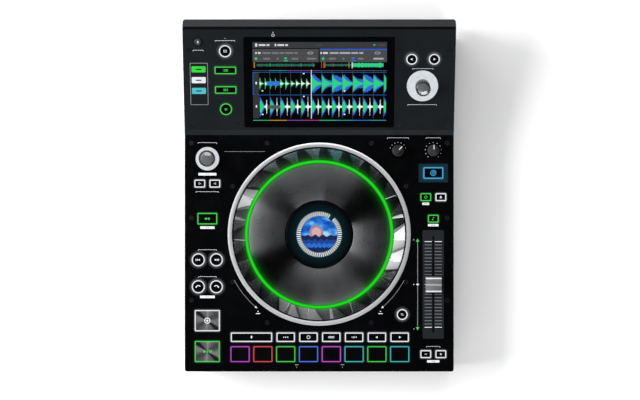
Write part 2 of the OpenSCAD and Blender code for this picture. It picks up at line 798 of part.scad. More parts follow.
module main_board() {
    chip_w = 30;
    memory_w = chip_w * 0.4;
    fin_pitch = 4.2;
    fin_t = 1.6;
    translate([0, main_y, base_z + sheet_t + boss_d]) {
        translate([-main_w / 2, 0, 0]) cube([main_w, main_l, board_t]);
        // Processor under its finned cooler
        translate([-chip_w / 2, main_l / 3, board_t - eps]) {
            cube([chip_w, chip_w, 2 * fin_t]);
            for (i = [0:6]) translate([i * fin_pitch + fin_t, 0, 2 * fin_t - eps])
                cube([fin_t, chip_w, 6 * fin_t]);
        }
        // Memory chips
        for (i = [-2, 1, 2]) translate([i * chip_w * 0.85 - memory_w / 2, main_l / 5, board_t - eps])
            cube([memory_w, chip_w * 0.6, board_t]);
    }
}

// Board on a block of pillars, with its transformer and two capacitors
module power_board() {
    capacitor_d = 14;
    capacitor_h = 20;
    translate([3 * wall - body_w / 2, main_y + power_l / 2, base_z + sheet_t]) {
        cube([power_w, power_l, boss_d]);
        translate([boss_d, boss_d, boss_d - eps]) cube([power_w * 0.4, power_l / 2, capacitor_h + 2]);
        for (i = [0, 1]) translate([power_w * 0.7, capacitor_d + i * (capacitor_d + 4), boss_d - eps])
            cylinder(capacitor_h, d = capacitor_d);
    }
}

module socket_board() {
    depth = 14;
    color("#26282b") {
        translate([-socket_board_w / 2, panel_y - sheet_t - socket_board_l, socket_board_z])
            cube([socket_board_w, socket_board_l - seam, board_t]);
        for (x = PHONO_X) phono(x, depth);
        network_socket(depth);
        data_socket(depth);
        mains_inlet();
        switch_bezel();
    }
}

module phono(x, depth) {
    body_h = socket_z - socket_board_z - board_t + phono_d / 2 + 1;
    block_r = phono_d / 2 + 1.35;
    translate([x, panel_y - sheet_t - seam, socket_z]) difference() {
        union() {
            translate([-block_r, -depth, phono_d / 2 + 1 - body_h - eps]) cube([2 * block_r, depth, body_h]);
            translate([0, -eps, 0]) rotate([-90, 0, 0]) cylinder(phono_l + sheet_t, d = phono_d);
        }
        translate([0, -depth + 4, 0]) rotate([-90, 0, 0]) cylinder(phono_l + depth, d = phono_bore);
    }
}

// Block that stands on the board and shows through the panel
module socket_block(x, w, h, depth) {
    drop = socket_z - socket_board_z - board_t;
    translate([x - w / 2, panel_y - depth - sheet_t, socket_z - drop - eps]) cube([w, depth, drop + h / 2]);
    translate([x - w / 2, panel_y - sheet_t - eps, socket_z - h / 2]) cube([w, sheet_t + 1, h]);
}

module network_socket(depth) {
    difference() {
        socket_block(network_x, network_body_w, network_body_h, depth);
        translate([network_x - network_w / 2, panel_y - depth + 1.5, socket_z - network_h / 2])
            cube([network_w, depth + 1, network_h]);
        translate([network_x - 3, panel_y - depth + 1.5, socket_z - network_h / 2 - 1.8])
            cube([6, depth + 1, 3]);
    }
}

module data_socket(depth) {
    difference() {
        socket_block(data_x, data_w, data_h, depth);
        difference() {
            translate([data_x - 4.2, panel_y - depth + 3, socket_z - 3.9]) cube([8.4, depth, 7.8]);
            translate([data_x - 2.8, panel_y - depth + 2, socket_z - 1.6]) cube([5.6, depth - 2, 3.2]);
        }
    }
}

module mains_inlet() {
    difference() {
        socket_block(inlet_x, inlet_w, inlet_h, inlet_depth + 4);
        translate([inlet_x, panel_y + 1.5, socket_z]) rotate([90, 0, 0])
            slab(inlet_w - 3.4, inlet_h - 3.4, 2, inlet_depth + 1.5);
    }
    for (p = [[-7, -2], [7, -2], [0, 2]])
        translate([inlet_x + p[0] - inlet_pin / 2, panel_y - inlet_depth - 1, socket_z + p[1] - inlet_pin])
            cube([inlet_pin, inlet_depth - 1, 2 * inlet_pin]);
}

module switch_bezel() {
    depth = rocker_r + 3;
    translate([rocker_x, panel_y - 1, socket_z]) difference() {
        translate([-bezel_w / 2, -depth, -bezel_h / 2]) cube([bezel_w, depth + 2.5, bezel_h]);
        translate([-rocker_w / 2 - shaft_fit, -depth + trim_t, -rocker_r - shaft_fit])
            cube([rocker_w + 2 * shaft_fit, depth + 4, 2 * (rocker_r + shaft_fit)]);
    }
    // Foot that stands on the board
    drop = socket_z - socket_board_z - board_t;
    translate([rocker_x - bezel_w / 4, panel_y - depth - 1, socket_z - drop - eps])
        cube([bezel_w / 2, depth - sheet_t, drop - bezel_h / 2 + trim_t / 2]);
}

// Fixed post with the bearing seat and the round display at its head
module wheel_post() {
    foot_top = base_z + sheet_t + 3 - deck_h;
    shoulder = hub_top - hub_l - seam;
    head_bottom = display_h - display_t - 4;
    color("#0c0e11") at_wheel() rotate_extrude($fn = 96) polygon([
        [0, base_z + sheet_t - deck_h], [post_foot_r, base_z + sheet_t - deck_h],
        [post_foot_r, foot_top], [hub_r + 4, foot_top],
        [hub_r, foot_top + 4], [hub_r, shoulder], [post_r, shoulder], [post_r, head_bottom],
        [display_r - 3, head_bottom], [display_r, head_bottom + 3],
        [display_r, display_h - 0.8], [display_r - 0.8, display_h], [0, display_h]
    ]);
}

module light_guides() {
    color("#f2f4f6") {
        at_deck(left_x, console_y - loop_row) halo(loop_halo_d);
        at_face(select_x, select_t) halo(select_halo_d);
        for (i = [-1:1]) at_face(-column_x, window_t + i * window_pitch) {
            translate([0, 0, -plate_t - seam]) slab(window_w, window_l, 1, plate_t + seam + 0.2);
            translate([0, 0, -plate_t - seam - trim_t]) slab(window_w + 2, window_l + 2, 1.6, trim_t + eps);
        }
    }
}

module halo(d) {
    translate([0, 0, -halo_t]) tube(d / 2, shaft_d / 2 + shaft_fit, halo_t + 0.2);
}

module fader_track() {
    color("#2c2d2f") at_deck(right_x, fader_y) difference() {
        union() {
            translate([0, 0, -fader_plate_t]) slab(fader_plate_w, fader_plate_l, 2, fader_plate_t);
            translate([0, 0, channel_bottom])
                slab(channel_w, channel_l, 1, -channel_bottom - fader_plate_t + eps);
        }
        translate([0, 0, channel_bottom + channel_wall]) slab(
            channel_w - 2 * channel_wall, channel_l - 2 * channel_wall, 0.4,
            -channel_bottom - 2 * channel_wall - fader_plate_t / 2
        );
        translate([-fader_slot_w / 2, -channel_l / 2 + 3, channel_bottom + channel_wall + 1])
            cube([fader_slot_w, channel_l - 6, -channel_bottom + 2]);
    }
}

module wheel_trim_ring() {
    color("#c9ccd0") at_wheel() rotate_extrude($fn = 96) polygon([
        [well_r, -plate_t], [well_r + trim_t, -plate_t], [well_r + trim_t, 0], [trim_r, 0],
        [trim_r, trim_h / 2], [trim_r - trim_h / 2, trim_h],
        [well_r + trim_h / 2, trim_h], [well_r, trim_h / 2]
    ]);
}

// ---------- wheel ----------

// Cutters that leave one flat blade face and the skewed slope beside it, with their seat at the
// outer edge of the flank; the long axis runs up the flank
module blade_cutters() {
    pitch_l = 2 * PI * wheel_r / blade_count;
    flank_l = flank_w / cos(flank_slope);
    sag = wheel_r * (1 - cos(180 / blade_count));
    slope = atan(cut_outer / (pitch_l * (1 - blade_share)));
    rotate([flank_slope, 0, 0]) {
        // Flat face
        translate([-pitch_l * 0.52, -3, -sag * 0.35]) cube([pitch_l, flank_l + 4, 8]);
        // Slope beside it, deeper towards the top of the flank
        translate([pitch_l * 0.48, 0, -cut_outer]) rotate([-atan((cut_inner - cut_outer) / flank_l), 0, 0])
            rotate([90, 0, 0]) translate([0, 0, -flank_l - 4]) linear_extrude(flank_l + 7)
                polygon([[0, 0], [0, 9], [-pitch_l, 9], [-pitch_l, pitch_l * tan(slope)]]);
    }
}

module wheel() {
    color("#7d8186") at_wheel() difference() {
        rotate_extrude($fn = 96) polygon([
            [wheel_r, -skirt_drop], [wheel_r, band_h], [rim_r, band_h + flank_rise], [rim_r, wheel_h],
            [light_r, wheel_h], [light_r, ledge_h], [inner_r, ledge_h], [inner_r, hub_top],
            [post_r + bearing_fit, hub_top], [post_r + bearing_fit, hub_top - hub_l],
            [hub_r, hub_top - hub_l],
            [hub_r, hub_top - wheel_wall], [inner_r + wheel_wall, hub_top - wheel_wall],
            [inner_r + wheel_wall, ledge_h - wheel_wall], [light_r - wheel_wall, ledge_h - wheel_wall],
            [wheel_r - wheel_wall, -skirt_drop + 2], [wheel_r - wheel_wall, -skirt_drop]
        ]);
        for (i = [0:blade_count - 1]) rotate([0, 0, i * blade_step])
            translate([0, -wheel_r, band_h]) blade_cutters();
    }
}

// Lit ring and top plate that lie on the wheel's ledge
module wheel_top() {
    ring_in = light_r - seam - light_ring_w;
    at_wheel() translate([0, 0, ledge_h]) {
        color("#1fe02a") tube(light_r - seam, ring_in, top_t);
        color("#101214") tube(ring_in - seam, inner_r - 0.4, top_t);
    }
}

// ---------- knobs ----------

// Turned knob with flutes round its side, a domed top and a blind bore for its shaft
module fluted_knob(d, h) {
    dome = d * 0.12;
    translate([0, 0, knob_gap]) difference() {
        intersection() {
            rotate_extrude() polygon([
                [0, 0], [d / 2 - 0.6, 0], [d / 2, 0.6], [d / 2, h - dome],
                [d / 2 - 0.8, h - dome / 2], [d / 2 - 2.6, h - dome / 6], [0, h]
            ]);
            linear_extrude(h + 1) difference() {
                circle(d / 2 + 1);
                for (i = [0:flute_count - 1]) rotate(i * 360 / flute_count)
                    translate([d / 2 + 0.5, 0]) circle(d = d * PI / flute_count * 0.62);
            }
        }
        translate([0, 0, -1]) cylinder(h - crown_t + 1, d = shaft_d + 2 * bearing_fit);
    }
}

module push_shaft(h) {
    top = knob_gap + h - crown_t - seam;
    translate([0, 0, 2 - board_drop]) cylinder(board_drop - 2 + top, d = shaft_d);
}

module select_shaft() {
    color("#8d9095") at_face(select_x, select_t) push_shaft(select_h);
}

module select_knob() {
    color("#3b3d40") at_face(select_x, select_t) fluted_knob(select_d, select_h);
}

module loop_shaft() {
    color("#8d9095") at_deck(left_x, console_y - loop_row) push_shaft(loop_h);
}

module loop_knob() {
    color("#3b3d40") at_deck(left_x, console_y - loop_row) fluted_knob(loop_d, loop_h);
}

// Small knob with a bar grip across a round skirt, pointing to +Y
module bar_knob() {
    bar_w = side_knob_d * 0.36;
    difference() {
        union() {
            translate([0, 0, 1]) rotate_extrude() polygon([
                [0, 0], [side_knob_d / 2, 0], [side_knob_d / 2, 3.6], [side_knob_d / 2 - 1, 5], [0, 5]
            ]);
            translate([0, 0, 5]) intersection() {
                slab(bar_w, side_knob_d - 1, bar_w / 2 - 0.1, side_knob_h - 5);
                cylinder(side_knob_h, d = side_knob_d - 1);
            }
            translate([0, 0, 1.5 - board_drop]) cylinder(board_drop, d = shaft_d);
        }
        translate([-0.5, side_knob_d * 0.12, side_knob_h - 0.5]) cube([1, side_knob_d, 2]);
    }
}

module tension_knob() {
    color("#232427") at_deck(tension_x, console_y - knob_row) rotate([0, 0, -45]) bar_knob();
}

module stop_time_knob() {
    color("#232427") at_deck(knob_x, console_y - knob_row) bar_knob();
}

// Side view of the finger cap: a ridge at each end, a stepped saddle between them and a raised
// line across its middle
function cap_half(l, h) = [
    [l / 2, cap_lift], [l / 2 - cap_lean, h * 0.78], [l / 2 - cap_lean - cap_ridge * 0.4, h],
    [l / 2 - cap_lean - cap_ridge * 1.6, h], [l / 2 - cap_lean - cap_ridge * 2, h - cap_step],
    [cap_ridge, h - cap_step * 1.6], [cap_ridge * 0.7, h - cap_step]
];

// Finger cap, stem and the carriage that runs in the channel
module fader_cap() {
    half = cap_half(fader_cap_l, fader_cap_h);
    stem_l = -channel_bottom + 1;
    carriage_h = 4;
    color("#9a9c9e") at_deck(right_x, fader_y) {
        rotate([90, 0, 90]) translate([0, 0, -fader_cap_w / 2]) linear_extrude(fader_cap_w)
            polygon(concat(half, [for (i = [len(half) - 1:-1:0]) [-half[i][0], half[i][1]]]));
        translate([-fader_stem_t / 2, -carriage_l / 3, channel_bottom + channel_wall + 2])
            cube([fader_stem_t, carriage_l * 2 / 3, stem_l]);
        translate([-carriage_w / 2, -carriage_l / 2, channel_bottom + channel_wall + seam])
            cube([carriage_w, carriage_l, carriage_h]);
    }
}

// Rocker that tips about X, drawn in its off position
module power_rocker() {
    rest = 8;
    color("#111214") translate([rocker_x, panel_y - 1, socket_z]) rotate([rest, 0, 0])
        along_x(rocker_w) intersection() {
            circle(rocker_r);
            polygon([
                [-rocker_r, -rocker_r], [rocker_r * 0.35, -rocker_r], [rocker_r * 0.2, 0],
                [rocker_r * 0.35, rocker_r], [-rocker_r, rocker_r]
            ]);
        }
}

// ---------- assembly ----------

bottom_chassis();
deck_panel();
display_console();
touch_screen();
feet();
panel_screws();
circuit_boards();
socket_board();
wheel_post();
light_guides();
fader_track();
wheel_trim_ring();
wheel();
wheel_top();
select_shaft();
select_knob();
loop_shaft();
loop_knob();
tension_knob();
stop_time_knob();
fader_cap();
power_rocker();
for (b = DECK_BUTTONS) color("#1a1b1d") at_deck(b[1], b[2]) button(b);
for (b = FACE_BUTTONS) color("#1a1b1d") at_face(b[1], b[2]) button(b);
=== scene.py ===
"""Looks of a tabletop media player: lit buttons, touch wheel, console screen and studio."""

import json
import math
import random

import bmesh
import bpy
from mathutils import Matrix, Vector


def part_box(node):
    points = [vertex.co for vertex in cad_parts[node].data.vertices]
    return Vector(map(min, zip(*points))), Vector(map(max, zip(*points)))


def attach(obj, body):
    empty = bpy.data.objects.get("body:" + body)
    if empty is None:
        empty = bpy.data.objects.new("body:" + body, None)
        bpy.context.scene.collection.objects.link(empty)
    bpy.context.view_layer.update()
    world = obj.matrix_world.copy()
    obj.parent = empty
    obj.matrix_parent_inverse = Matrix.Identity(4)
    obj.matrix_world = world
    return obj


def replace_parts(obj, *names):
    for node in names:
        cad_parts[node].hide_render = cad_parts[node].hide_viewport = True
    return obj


bl_info = {
    "name": "Tabletop media player",
    "version": (1, 0, 0),
    "blender": (4, 5, 0),
    "location": "View3D > Sidebar > Player",
    "description": "Builds the finish and the lit details of a tabletop media player",
    "category": "Object",
}

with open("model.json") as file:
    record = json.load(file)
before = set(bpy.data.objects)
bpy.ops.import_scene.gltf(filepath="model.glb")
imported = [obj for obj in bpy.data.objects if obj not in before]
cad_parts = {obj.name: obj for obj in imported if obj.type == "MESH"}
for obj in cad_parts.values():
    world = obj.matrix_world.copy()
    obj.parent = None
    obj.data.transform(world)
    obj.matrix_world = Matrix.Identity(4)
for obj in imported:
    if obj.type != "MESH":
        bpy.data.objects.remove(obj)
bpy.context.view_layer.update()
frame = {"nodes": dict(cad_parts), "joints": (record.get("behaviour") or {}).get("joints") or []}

MM = 0.001
CASE = "case"
LIFT = 0.06  # print and lit shapes stand this many millimetres above what carries them


def node_box(node):
    """Lowest and highest corner of a CAD node in millimetres."""
    low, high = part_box(node)
    return low / MM, high / MM


def middle(node):
    """Centre of a CAD node in plan."""
    low, high = node_box(node)
    return (low.x + high.x) / 2, (low.y + high.y) / 2


def towards(degrees):
    """Level unit vector at an angle from +X."""
    turn = math.radians(degrees)
    return Vector((math.cos(turn), math.sin(turn), 0))


# Sizes in millimetres
DECK_TOP = node_box("deck_panel")[1].z
FRONT_EDGE = node_box("deck_panel")[0].y
CONSOLE_FRONT = node_box("display_console")[0].y
CONSOLE_REAR = node_box("display_console")[1].y
LIP = 9.3  # depth of the console's rear lip
GROOVE = 3.5  # width of the groove before it, where the console's coat is painted black as shade
STRIP_DEPTH = 5.9  # bevelled strip at the console's front
STRIP_RISE = 2.5
WHEEL_X, WHEEL_Y = middle("wheel")
WHEEL_R = (node_box("wheel")[1].x - node_box("wheel")[0].x) / 2
FLANK_W = 13  # width of the bladed flank in plan
BLADES = 23
BLADE_START = 0.27  # where the first blade starts, in blades
RING_GAP = 1.7  # between the wheel and its trim ring
FLUTES = 20  # round a push knob
FLANGE = 1.0  # a button's CAD flange, which reaches past its cap
CAP_RISE = 1.6  # a button's cap above its plate
CAP_FOOT = -4.0
KEY_R = 1.6  # corners of an oblong button
DISH = 0.3  # depth of a button's face below its frame
WIDE_SPILL = 3.4  # reach of a round button's light over the plate round it
RING_W = 4.3  # lit ring of the wheel
PLATE_HOLE = 40.6  # radius of the grooved plate's hole
TICKS_R = 24.3  # ring of ticks round the centre display's picture
PICTURE_R = 21.3
DOTS_R = 9.6  # dots round a side knob
ARROWS_R = 115  # direction arrows beside the wheel
FACE_TOP = 120.88  # length of the console's face up the slope
SENSOR = 36  # width of the camera's sensor

ROUND = 144  # sides of the wheel's rings
SHARP = 35  # degrees between faces from which an edge is drawn sharp
TICK_GAP_AT = 54  # degrees
SYMBOL_GLOW = "1.20"

# Places: a deck point is (x, y), a face point is (x, distance up the slope)
PRESS_AXIS = next(Vector(j["axis"]) for j in frame["joints"] if j["name"] == "view_press")
TILT = math.atan2(PRESS_AXIS.y, -PRESS_AXIS.z)
DECK = Matrix.Translation((0, 0, DECK_TOP))
FACE_START = (0, CONSOLE_FRONT + STRIP_DEPTH, DECK_TOP + STRIP_RISE)
FACE = Matrix.Translation(FACE_START) @ Matrix.Rotation(TILT, 4, "X")
TO_METRES = Matrix.Scale(MM, 4)
SELECT_AXIS = next(Vector(j["pos_m"]) / MM for j in frame["joints"] if j["name"] == "select_turn")
SELECT_X, SELECT_T = (FACE.inverted() @ SELECT_AXIS).xy


# ---------------------------------------------------------------- sizes and colours to set


class ButtonSettings(bpy.types.PropertyGroup):
    """Lit buttons."""

    frame_width: bpy.props.FloatProperty(
        name="Frame width", description="Width of the lit frame in millimetres",
        default=1.25, min=0.5, max=2.5,
    )
    glow: bpy.props.FloatProperty(
        name="Glow", description="Brightness of the lit frames", default=1.0, min=0.0, max=10.0
    )
    white: bpy.props.FloatVectorProperty(
        name="White", description="Colour of the white lamps", subtype="COLOR", default=(0.84, 0.88, 0.92)
    )
    green: bpy.props.FloatVectorProperty(
        name="Green", description="Colour of the green lamps", subtype="COLOR", default=(0.06, 0.62, 0.08)
    )


class WheelSettings(bpy.types.PropertyGroup):
    """Touch wheel and its display."""

    ring_glow: bpy.props.FloatProperty(
        name="Ring glow", description="Brightness of the lit ring", default=1.0, min=0.0, max=10.0
    )
    ring_colour: bpy.props.FloatVectorProperty(
        name="Ring colour", description="Colour of the lit ring", subtype="COLOR",
        default=(0.006, 0.66, 0.008),
    )
    tick_count: bpy.props.IntProperty(
        name="Ticks", description="Ticks round the centre display", default=64, min=12, max=120
    )


class StageSettings(bpy.types.PropertyGroup):
    """Camera and studio."""

    camera_height: bpy.props.FloatProperty(
        name="Camera height", description="Height of the camera above the deck", unit="LENGTH", default=2.0
    )
    field_width: bpy.props.FloatProperty(
        name="Field width", description="Width that the camera sees at the deck", unit="LENGTH",
        default=0.7612,
    )
    key_power: bpy.props.FloatProperty(
        name="Key light", description="Power of a large soft box in watts", default=38.0, min=0.0
    )
    side_power: bpy.props.FloatProperty(
        name="Side lights", description="Power of a low soft box in watts", default=2.2, min=0.0
    )


# ---------------------------------------------------------------- materials

COATS = {  # dark and light of the coat, roughness
    "deck": ((0.0007, 0.0008, 0.0010), (0.0013, 0.0014, 0.0018), 0.25),
    "console": ((0.0066, 0.0080, 0.0094), (0.0084, 0.0100, 0.0116), 0.33),
    "field": ((0.004, 0.009, 0.016), (0.005, 0.011, 0.019), 0.4),
}
LAMPS = {
    "lime": (0.03, 0.72, 0.035), "aqua": (0.07, 0.56, 0.64), "cyan": (0.05, 0.45, 0.75),
    "red": (0.66, 0.07, 0.08), "blue": (0.07, 0.19, 0.74), "purple": (0.50, 0.06, 0.62),
    "magenta": (0.54, 0.08, 0.58), "teal": (0.05, 0.47, 0.50),
}
BLACK = (0, 0, 0)


def scaled(colour, share):
    """Share of a colour."""
    return tuple(share * c for c in colour)


def lamp_colour(name):
    """White and green follow the button settings; the other lamps are fixed."""
    sets = bpy.context.scene.player_buttons
    return tuple(getattr(sets, name)) if name in ("white", "green") else LAMPS[name]


def shader(name, colour, roughness=0.5, **values):
    """New material with its Principled shader's sockets set."""
    material = bpy.data.materials.new(name)
    material.use_nodes = True
    surface = parts(material)[2]
    surface.inputs["Base Color"].default_value = (*colour, 1)
    surface.inputs["Roughness"].default_value = roughness
    for socket, value in values.items():
        surface.inputs[socket.replace("_", " ")].default_value = value
    return material


def parts(material):
    """Nodes, links and shader of a material."""
    tree = material.node_tree
    return tree.nodes, tree.links, tree.nodes["Principled BSDF"]


def calculate(material, operation, first, second, third=None):
    """Math node over sockets or plain numbers."""
    nodes, links, _ = parts(material)
    node = nodes.new("ShaderNodeMath")
    node.operation = operation
    for slot, value in zip(node.inputs, (first, second, third)):
        if isinstance(value, bpy.types.NodeSocket):
            links.new(value, slot)
        elif value is not None:
            slot.default_value = value
    return node.outputs["Value"]


def ramp(material, value, steps, socket):
    """Colour ramp from a value to one of the shader's sockets; steps are (position, colour)."""
    nodes, links, surface = parts(material)
    colours = nodes.new("ShaderNodeValToRGB")
    while len(colours.color_ramp.elements) < len(steps):
        colours.color_ramp.elements.new(0.5)
    for element, (position, colour) in zip(colours.color_ramp.elements, steps):
        element.position = position
        element.color = (*colour, 1)
    links.new(value, colours.inputs["Fac"])
    links.new(colours.outputs["Color"], surface.inputs[socket])


def emit(material, value, steps):
    """Light of strength 1 whose colour follows a ramp."""
    ramp(material, value, steps, "Emission Color")
    parts(material)[2].inputs["Emission Strength"].default_value = 1.0


def tint(material, value, low, high):
    """Mixes two base colours by a 0 to 1 value."""
    ramp(material, value, [(0.3, low), (0.7, high)], "Base Color")


def spread(material, value, low, high):
    """Maps a 0 to 1 value to a range of roughness."""
    nodes, links, surface = parts(material)
    ranger = nodes.new("ShaderNodeMapRange")
    for socket, number in {"From Min": 0.3, "From Max": 0.7, "To Min": low, "To Max": high}.items():
        ranger.inputs[socket].default_value = number
    links.new(value, ranger.inputs["Value"])
    links.new(ranger.outputs["Result"], surface.inputs["Roughness"])


def bump(material, value, height, strength):
    """Small relief of the given height in metres."""
    nodes, links, surface = parts(material)
    relief = nodes.new("ShaderNodeBump")
    relief.inputs["Strength"].default_value = strength
    relief.inputs["Distance"].default_value = height
    links.new(value, relief.inputs["Height"])
    links.new(relief.outputs["Normal"], surface.inputs["Normal"])


def noise(material, scale, detail, stretch=(1, 1, 1)):
    """Noise over object coordinates; the scale is in features a metre."""
    nodes, links, _ = parts(material)
    place = nodes.new("ShaderNodeTexCoord")
    mapping = nodes.new("ShaderNodeMapping")
    mapping.inputs["Scale"].default_value = stretch
    grain = nodes.new("ShaderNodeTexNoise")
    grain.inputs["Scale"].default_value = scale
    grain.inputs["Detail"].default_value = detail
    links.new(place.outputs["Object"], mapping.inputs["Vector"])
    links.new(mapping.outputs["Vector"], grain.inputs["Vector"])
    return grain.outputs["Fac"]


def axes(material):
    """Object coordinates, split into their axes."""
    nodes, links, _ = parts(material)
    place = nodes.new("ShaderNodeTexCoord")
    split = nodes.new("ShaderNodeSeparateXYZ")
    links.new(place.outputs["Object"], split.inputs["Vector"])
    return split.outputs


def polar(material, centre_x=WHEEL_X, centre_y=WHEEL_Y):
    """Angle in turns and radius in metres about an upright axis."""
    place = axes(material)
    x = calculate(material, "SUBTRACT", place["X"], centre_x * MM)
    y = calculate(material, "SUBTRACT", place["Y"], centre_y * MM)
    angle = calculate(material, "DIVIDE", calculate(material, "ARCTAN2", y, x), math.tau)
    square = calculate(
        material, "ADD", calculate(material, "MULTIPLY", x, x), calculate(material, "MULTIPLY", y, y)
    )
    return angle, calculate(material, "SQRT", square, 0)


def turned(material, amount):
    """Stretches the material's highlights across turning marks round the piece's own centre."""
    nodes, links, surface = parts(material)
    tangent = nodes.new("ShaderNodeTangent")
    tangent.direction_type = "RADIAL"
    tangent.axis = "Z"
    links.new(tangent.outputs["Tangent"], surface.inputs["Tangent"])
    surface.inputs["Anisotropic"].default_value = amount
    surface.inputs["Anisotropic Rotation"].default_value = 0.25


def powder_coat(name, dark, light, roughness):
    """Painted sheet metal with a fine grained coat and faint handling marks."""
    material = shader(name, dark, roughness, Specular_IOR_Level=0.07)
    tint(material, noise(material, 14, 4), dark, light)
    spread(material, noise(material, 60, 5), roughness - 0.05, roughness + 0.07)
    bump(material, noise(material, 2600, 2), 0.00004, 0.35)
    return material


def moulded(name, dark, light, roughness, grain=1800, shine=0.5):
    """Moulded plastic with a fine spark-eroded grain."""
    material = shader(name, dark, roughness, Specular_IOR_Level=shine)
    tint(material, noise(material, 45, 3), dark, light)
    spread(material, noise(material, 220, 3), roughness - 0.04, roughness + 0.06)
    bump(material, noise(material, grain, 2), 0.00003, 0.25)
    return material


def metal(name, dark, light, roughness):
    """Metal with fine tool marks."""
    material = shader(name, dark, roughness, Metallic=1.0)
    marks = noise(material, 900, 4)
    tint(material, marks, dark, light)
    spread(material, marks, roughness - 0.05, roughness + 0.08)
    bump(material, marks, 0.00002, 0.3)
    return material


def lamp(name, colour, glow, core=0.82):
    """Translucent plastic lit from behind, a little uneven over its area."""
    material = shader(name, scaled(colour, 0.06), 0.4, Specular_IOR_Level=0.2, Emission_Strength=glow)
    uneven = noise(material, 260, 2)
    ramp(material, uneven, [(0.25, scaled(colour, core)), (0.75, colour)], "Emission Color")
    return material


def console_paint():
    """Console coat, painted lighter on the rear lip as painted light and black in the groove before it as
    painted shade.
    """
    material = powder_coat("console paint", *COATS["console"])
    nodes, links, surface = parts(material)
    paint = surface.inputs["Base Color"].links[0].from_socket
    depth = axes(material)["Y"]
    # Black band: painted shade in the groove. Lighter band: painted light on the rear lip.
    for y, colour in (
        (CONSOLE_REAR - LIP - GROOVE, (0.001, 0.001, 0.001)),
        (CONSOLE_REAR - LIP, (0.034, 0.036, 0.040)),
    ):
        mix = nodes.new("ShaderNodeMix")
        mix.data_type = "RGBA"
        links.new(calculate(material, "GREATER_THAN", depth, (y - 0.05) * MM), mix.inputs["Factor"])
        links.new(paint, mix.inputs["A"])
        mix.inputs["B"].default_value = (*colour, 1)
        paint = mix.outputs["Result"]
    links.new(paint, surface.inputs["Base Color"])
    return material


def bladed_metal():
    """Blade faces with a painted highlight and darker slopes between them in painted shade."""
    material = shader("bright blades", (0.6, 0.6, 0.62), 0.22, Metallic=1.0)
    angle, radius = polar(material)
    pitch = calculate(
        material, "FRACT", calculate(material, "MULTIPLY_ADD", angle, BLADES, BLADE_START), 0
    )
    inwards = calculate(material, "SUBTRACT", WHEEL_R * MM, radius)
    climb = calculate(material, "DIVIDE", inwards, FLANK_W * MM)
    # A blade's face narrows as it climbs, and its slope starts where the face ends. The face and slope
    # colours are painted highlight and painted shade, with a painted shadow line where each slope starts.
    edge = calculate(material, "MULTIPLY_ADD", climb, -0.33, 0.66)
    past = calculate(material, "SUBTRACT", pitch, edge)
    ramp(
        material, calculate(material, "ADD", past, 0.5),
        [
            (0.0, (0.70, 0.71, 0.73)), (0.44, (0.55, 0.56, 0.58)), (0.495, (0.42, 0.43, 0.45)),
            (0.51, (0.10, 0.10, 0.11)), (0.70, (0.20, 0.20, 0.21)), (0.97, (0.28, 0.28, 0.29)),
        ],
        "Base Color",
    )
    spread(material, noise(material, 90, 2), 0.135, 0.16)
    # Green spill from the lit ring
    green = [(0.36, BLACK), (0.64, (0, 0.02, 0)), (0.80, (0.002, 0.10, 0.002)), (0.86, BLACK)]
    emit(material, calculate(material, "MULTIPLY", climb, 0.8), green)
    return material


def grooved_plate():
    """Black plate with record-like grooves, which stretch highlights into spokes."""
    material = shader("grooved plate", (0.08, 0.08, 0.085), 0.32, Metallic=1.0)
    _, radius = polar(material)
    # Base colour darkens towards the plate's outer edge as painted shade; the grooves add a fine ring
    # pattern.
    grooves = calculate(material, "PINGPONG", radius, 0.0006)
    inner = calculate(material, "MULTIPLY_ADD", grooves, 500, 1.75)
    shade = calculate(material, "MULTIPLY_ADD", radius, -16.0, inner)
    ramp(material, shade, [(0.0, (0.024, 0.025, 0.027)), (1.0, (0.080, 0.081, 0.085))], "Base Color")
    spread(material, noise(material, 120, 3), 0.27, 0.31)
    # Green spill from the lit ring
    green = [(0.72, BLACK), (0.79, (0, 0.012, 0)), (0.832, (0.001, 0.085, 0.001))]
    emit(material, calculate(material, "MULTIPLY", radius, 10), green)
    turned(material, 1.0)
    return material


def knob_cap():
    """Glossy lacquered crown of a knob."""
    material = shader("knob crown lacquer", (0.18, 0.18, 0.19), 0.13, Metallic=0.5)
    tint(material, noise(material, 600, 2), (0.16, 0.165, 0.17), (0.19, 0.195, 0.20))
    return material


def trim_metal():
    """Satin anodised ring."""
    material = shader("satin trim ring", (0.62, 0.63, 0.65), 0.32, Metallic=0.7)
    tint(material, noise(material, 30, 3), (0.72, 0.73, 0.75), (0.80, 0.81, 0.83))
    spread(material, noise(material, 700, 2), 0.29, 0.35)
    return material


def spun_face(name):
    """Metal button face spun about its own centre, with its sheen painted in wedges round that centre as
    painted highlight and painted shade.
    """
    material = shader(f"spun {name} face", (0.3, 0.3, 0.31), 0.36, Metallic=1.0)
    angle, _ = polar(material, *middle(key_node(name)))
    turn = calculate(material, "FRACT", calculate(material, "MULTIPLY_ADD", angle, 2.0, 2.0), 0)
    # Greys round the centre are a painted sheen: painted highlight and painted shade.
    painted_sheen_greys = [
        (0.0, 0.30), (0.16, 0.22), (0.36, 0.33), (0.48, 0.50), (0.56, 0.26),
        (0.68, 0.20), (0.74, 0.02), (0.82, 0.03), (0.87, 0.28), (1.0, 0.30),
    ]
    ramp(material, turn, [(at, (grey, grey, grey * 1.02)) for at, grey in painted_sheen_greys], "Base Color")
    spread(material, noise(material, 400, 2), 0.33, 0.39)
    turned(material, 0.6)
    return material


def clouds():
    """Cloudy sky in blues behind the centre display's glass."""
    material = shader("display clouds", BLACK, 0.15)
    blues = [
        (0.30, (0.006, 0.05, 0.30)), (0.44, (0.012, 0.13, 0.58)),
        (0.56, (0.06, 0.30, 0.80)), (0.68, (0.42, 0.66, 0.88)),
    ]
    emit(material, noise(material, 70, 2.5, (1, 1.6, 1)), blues)
    return material


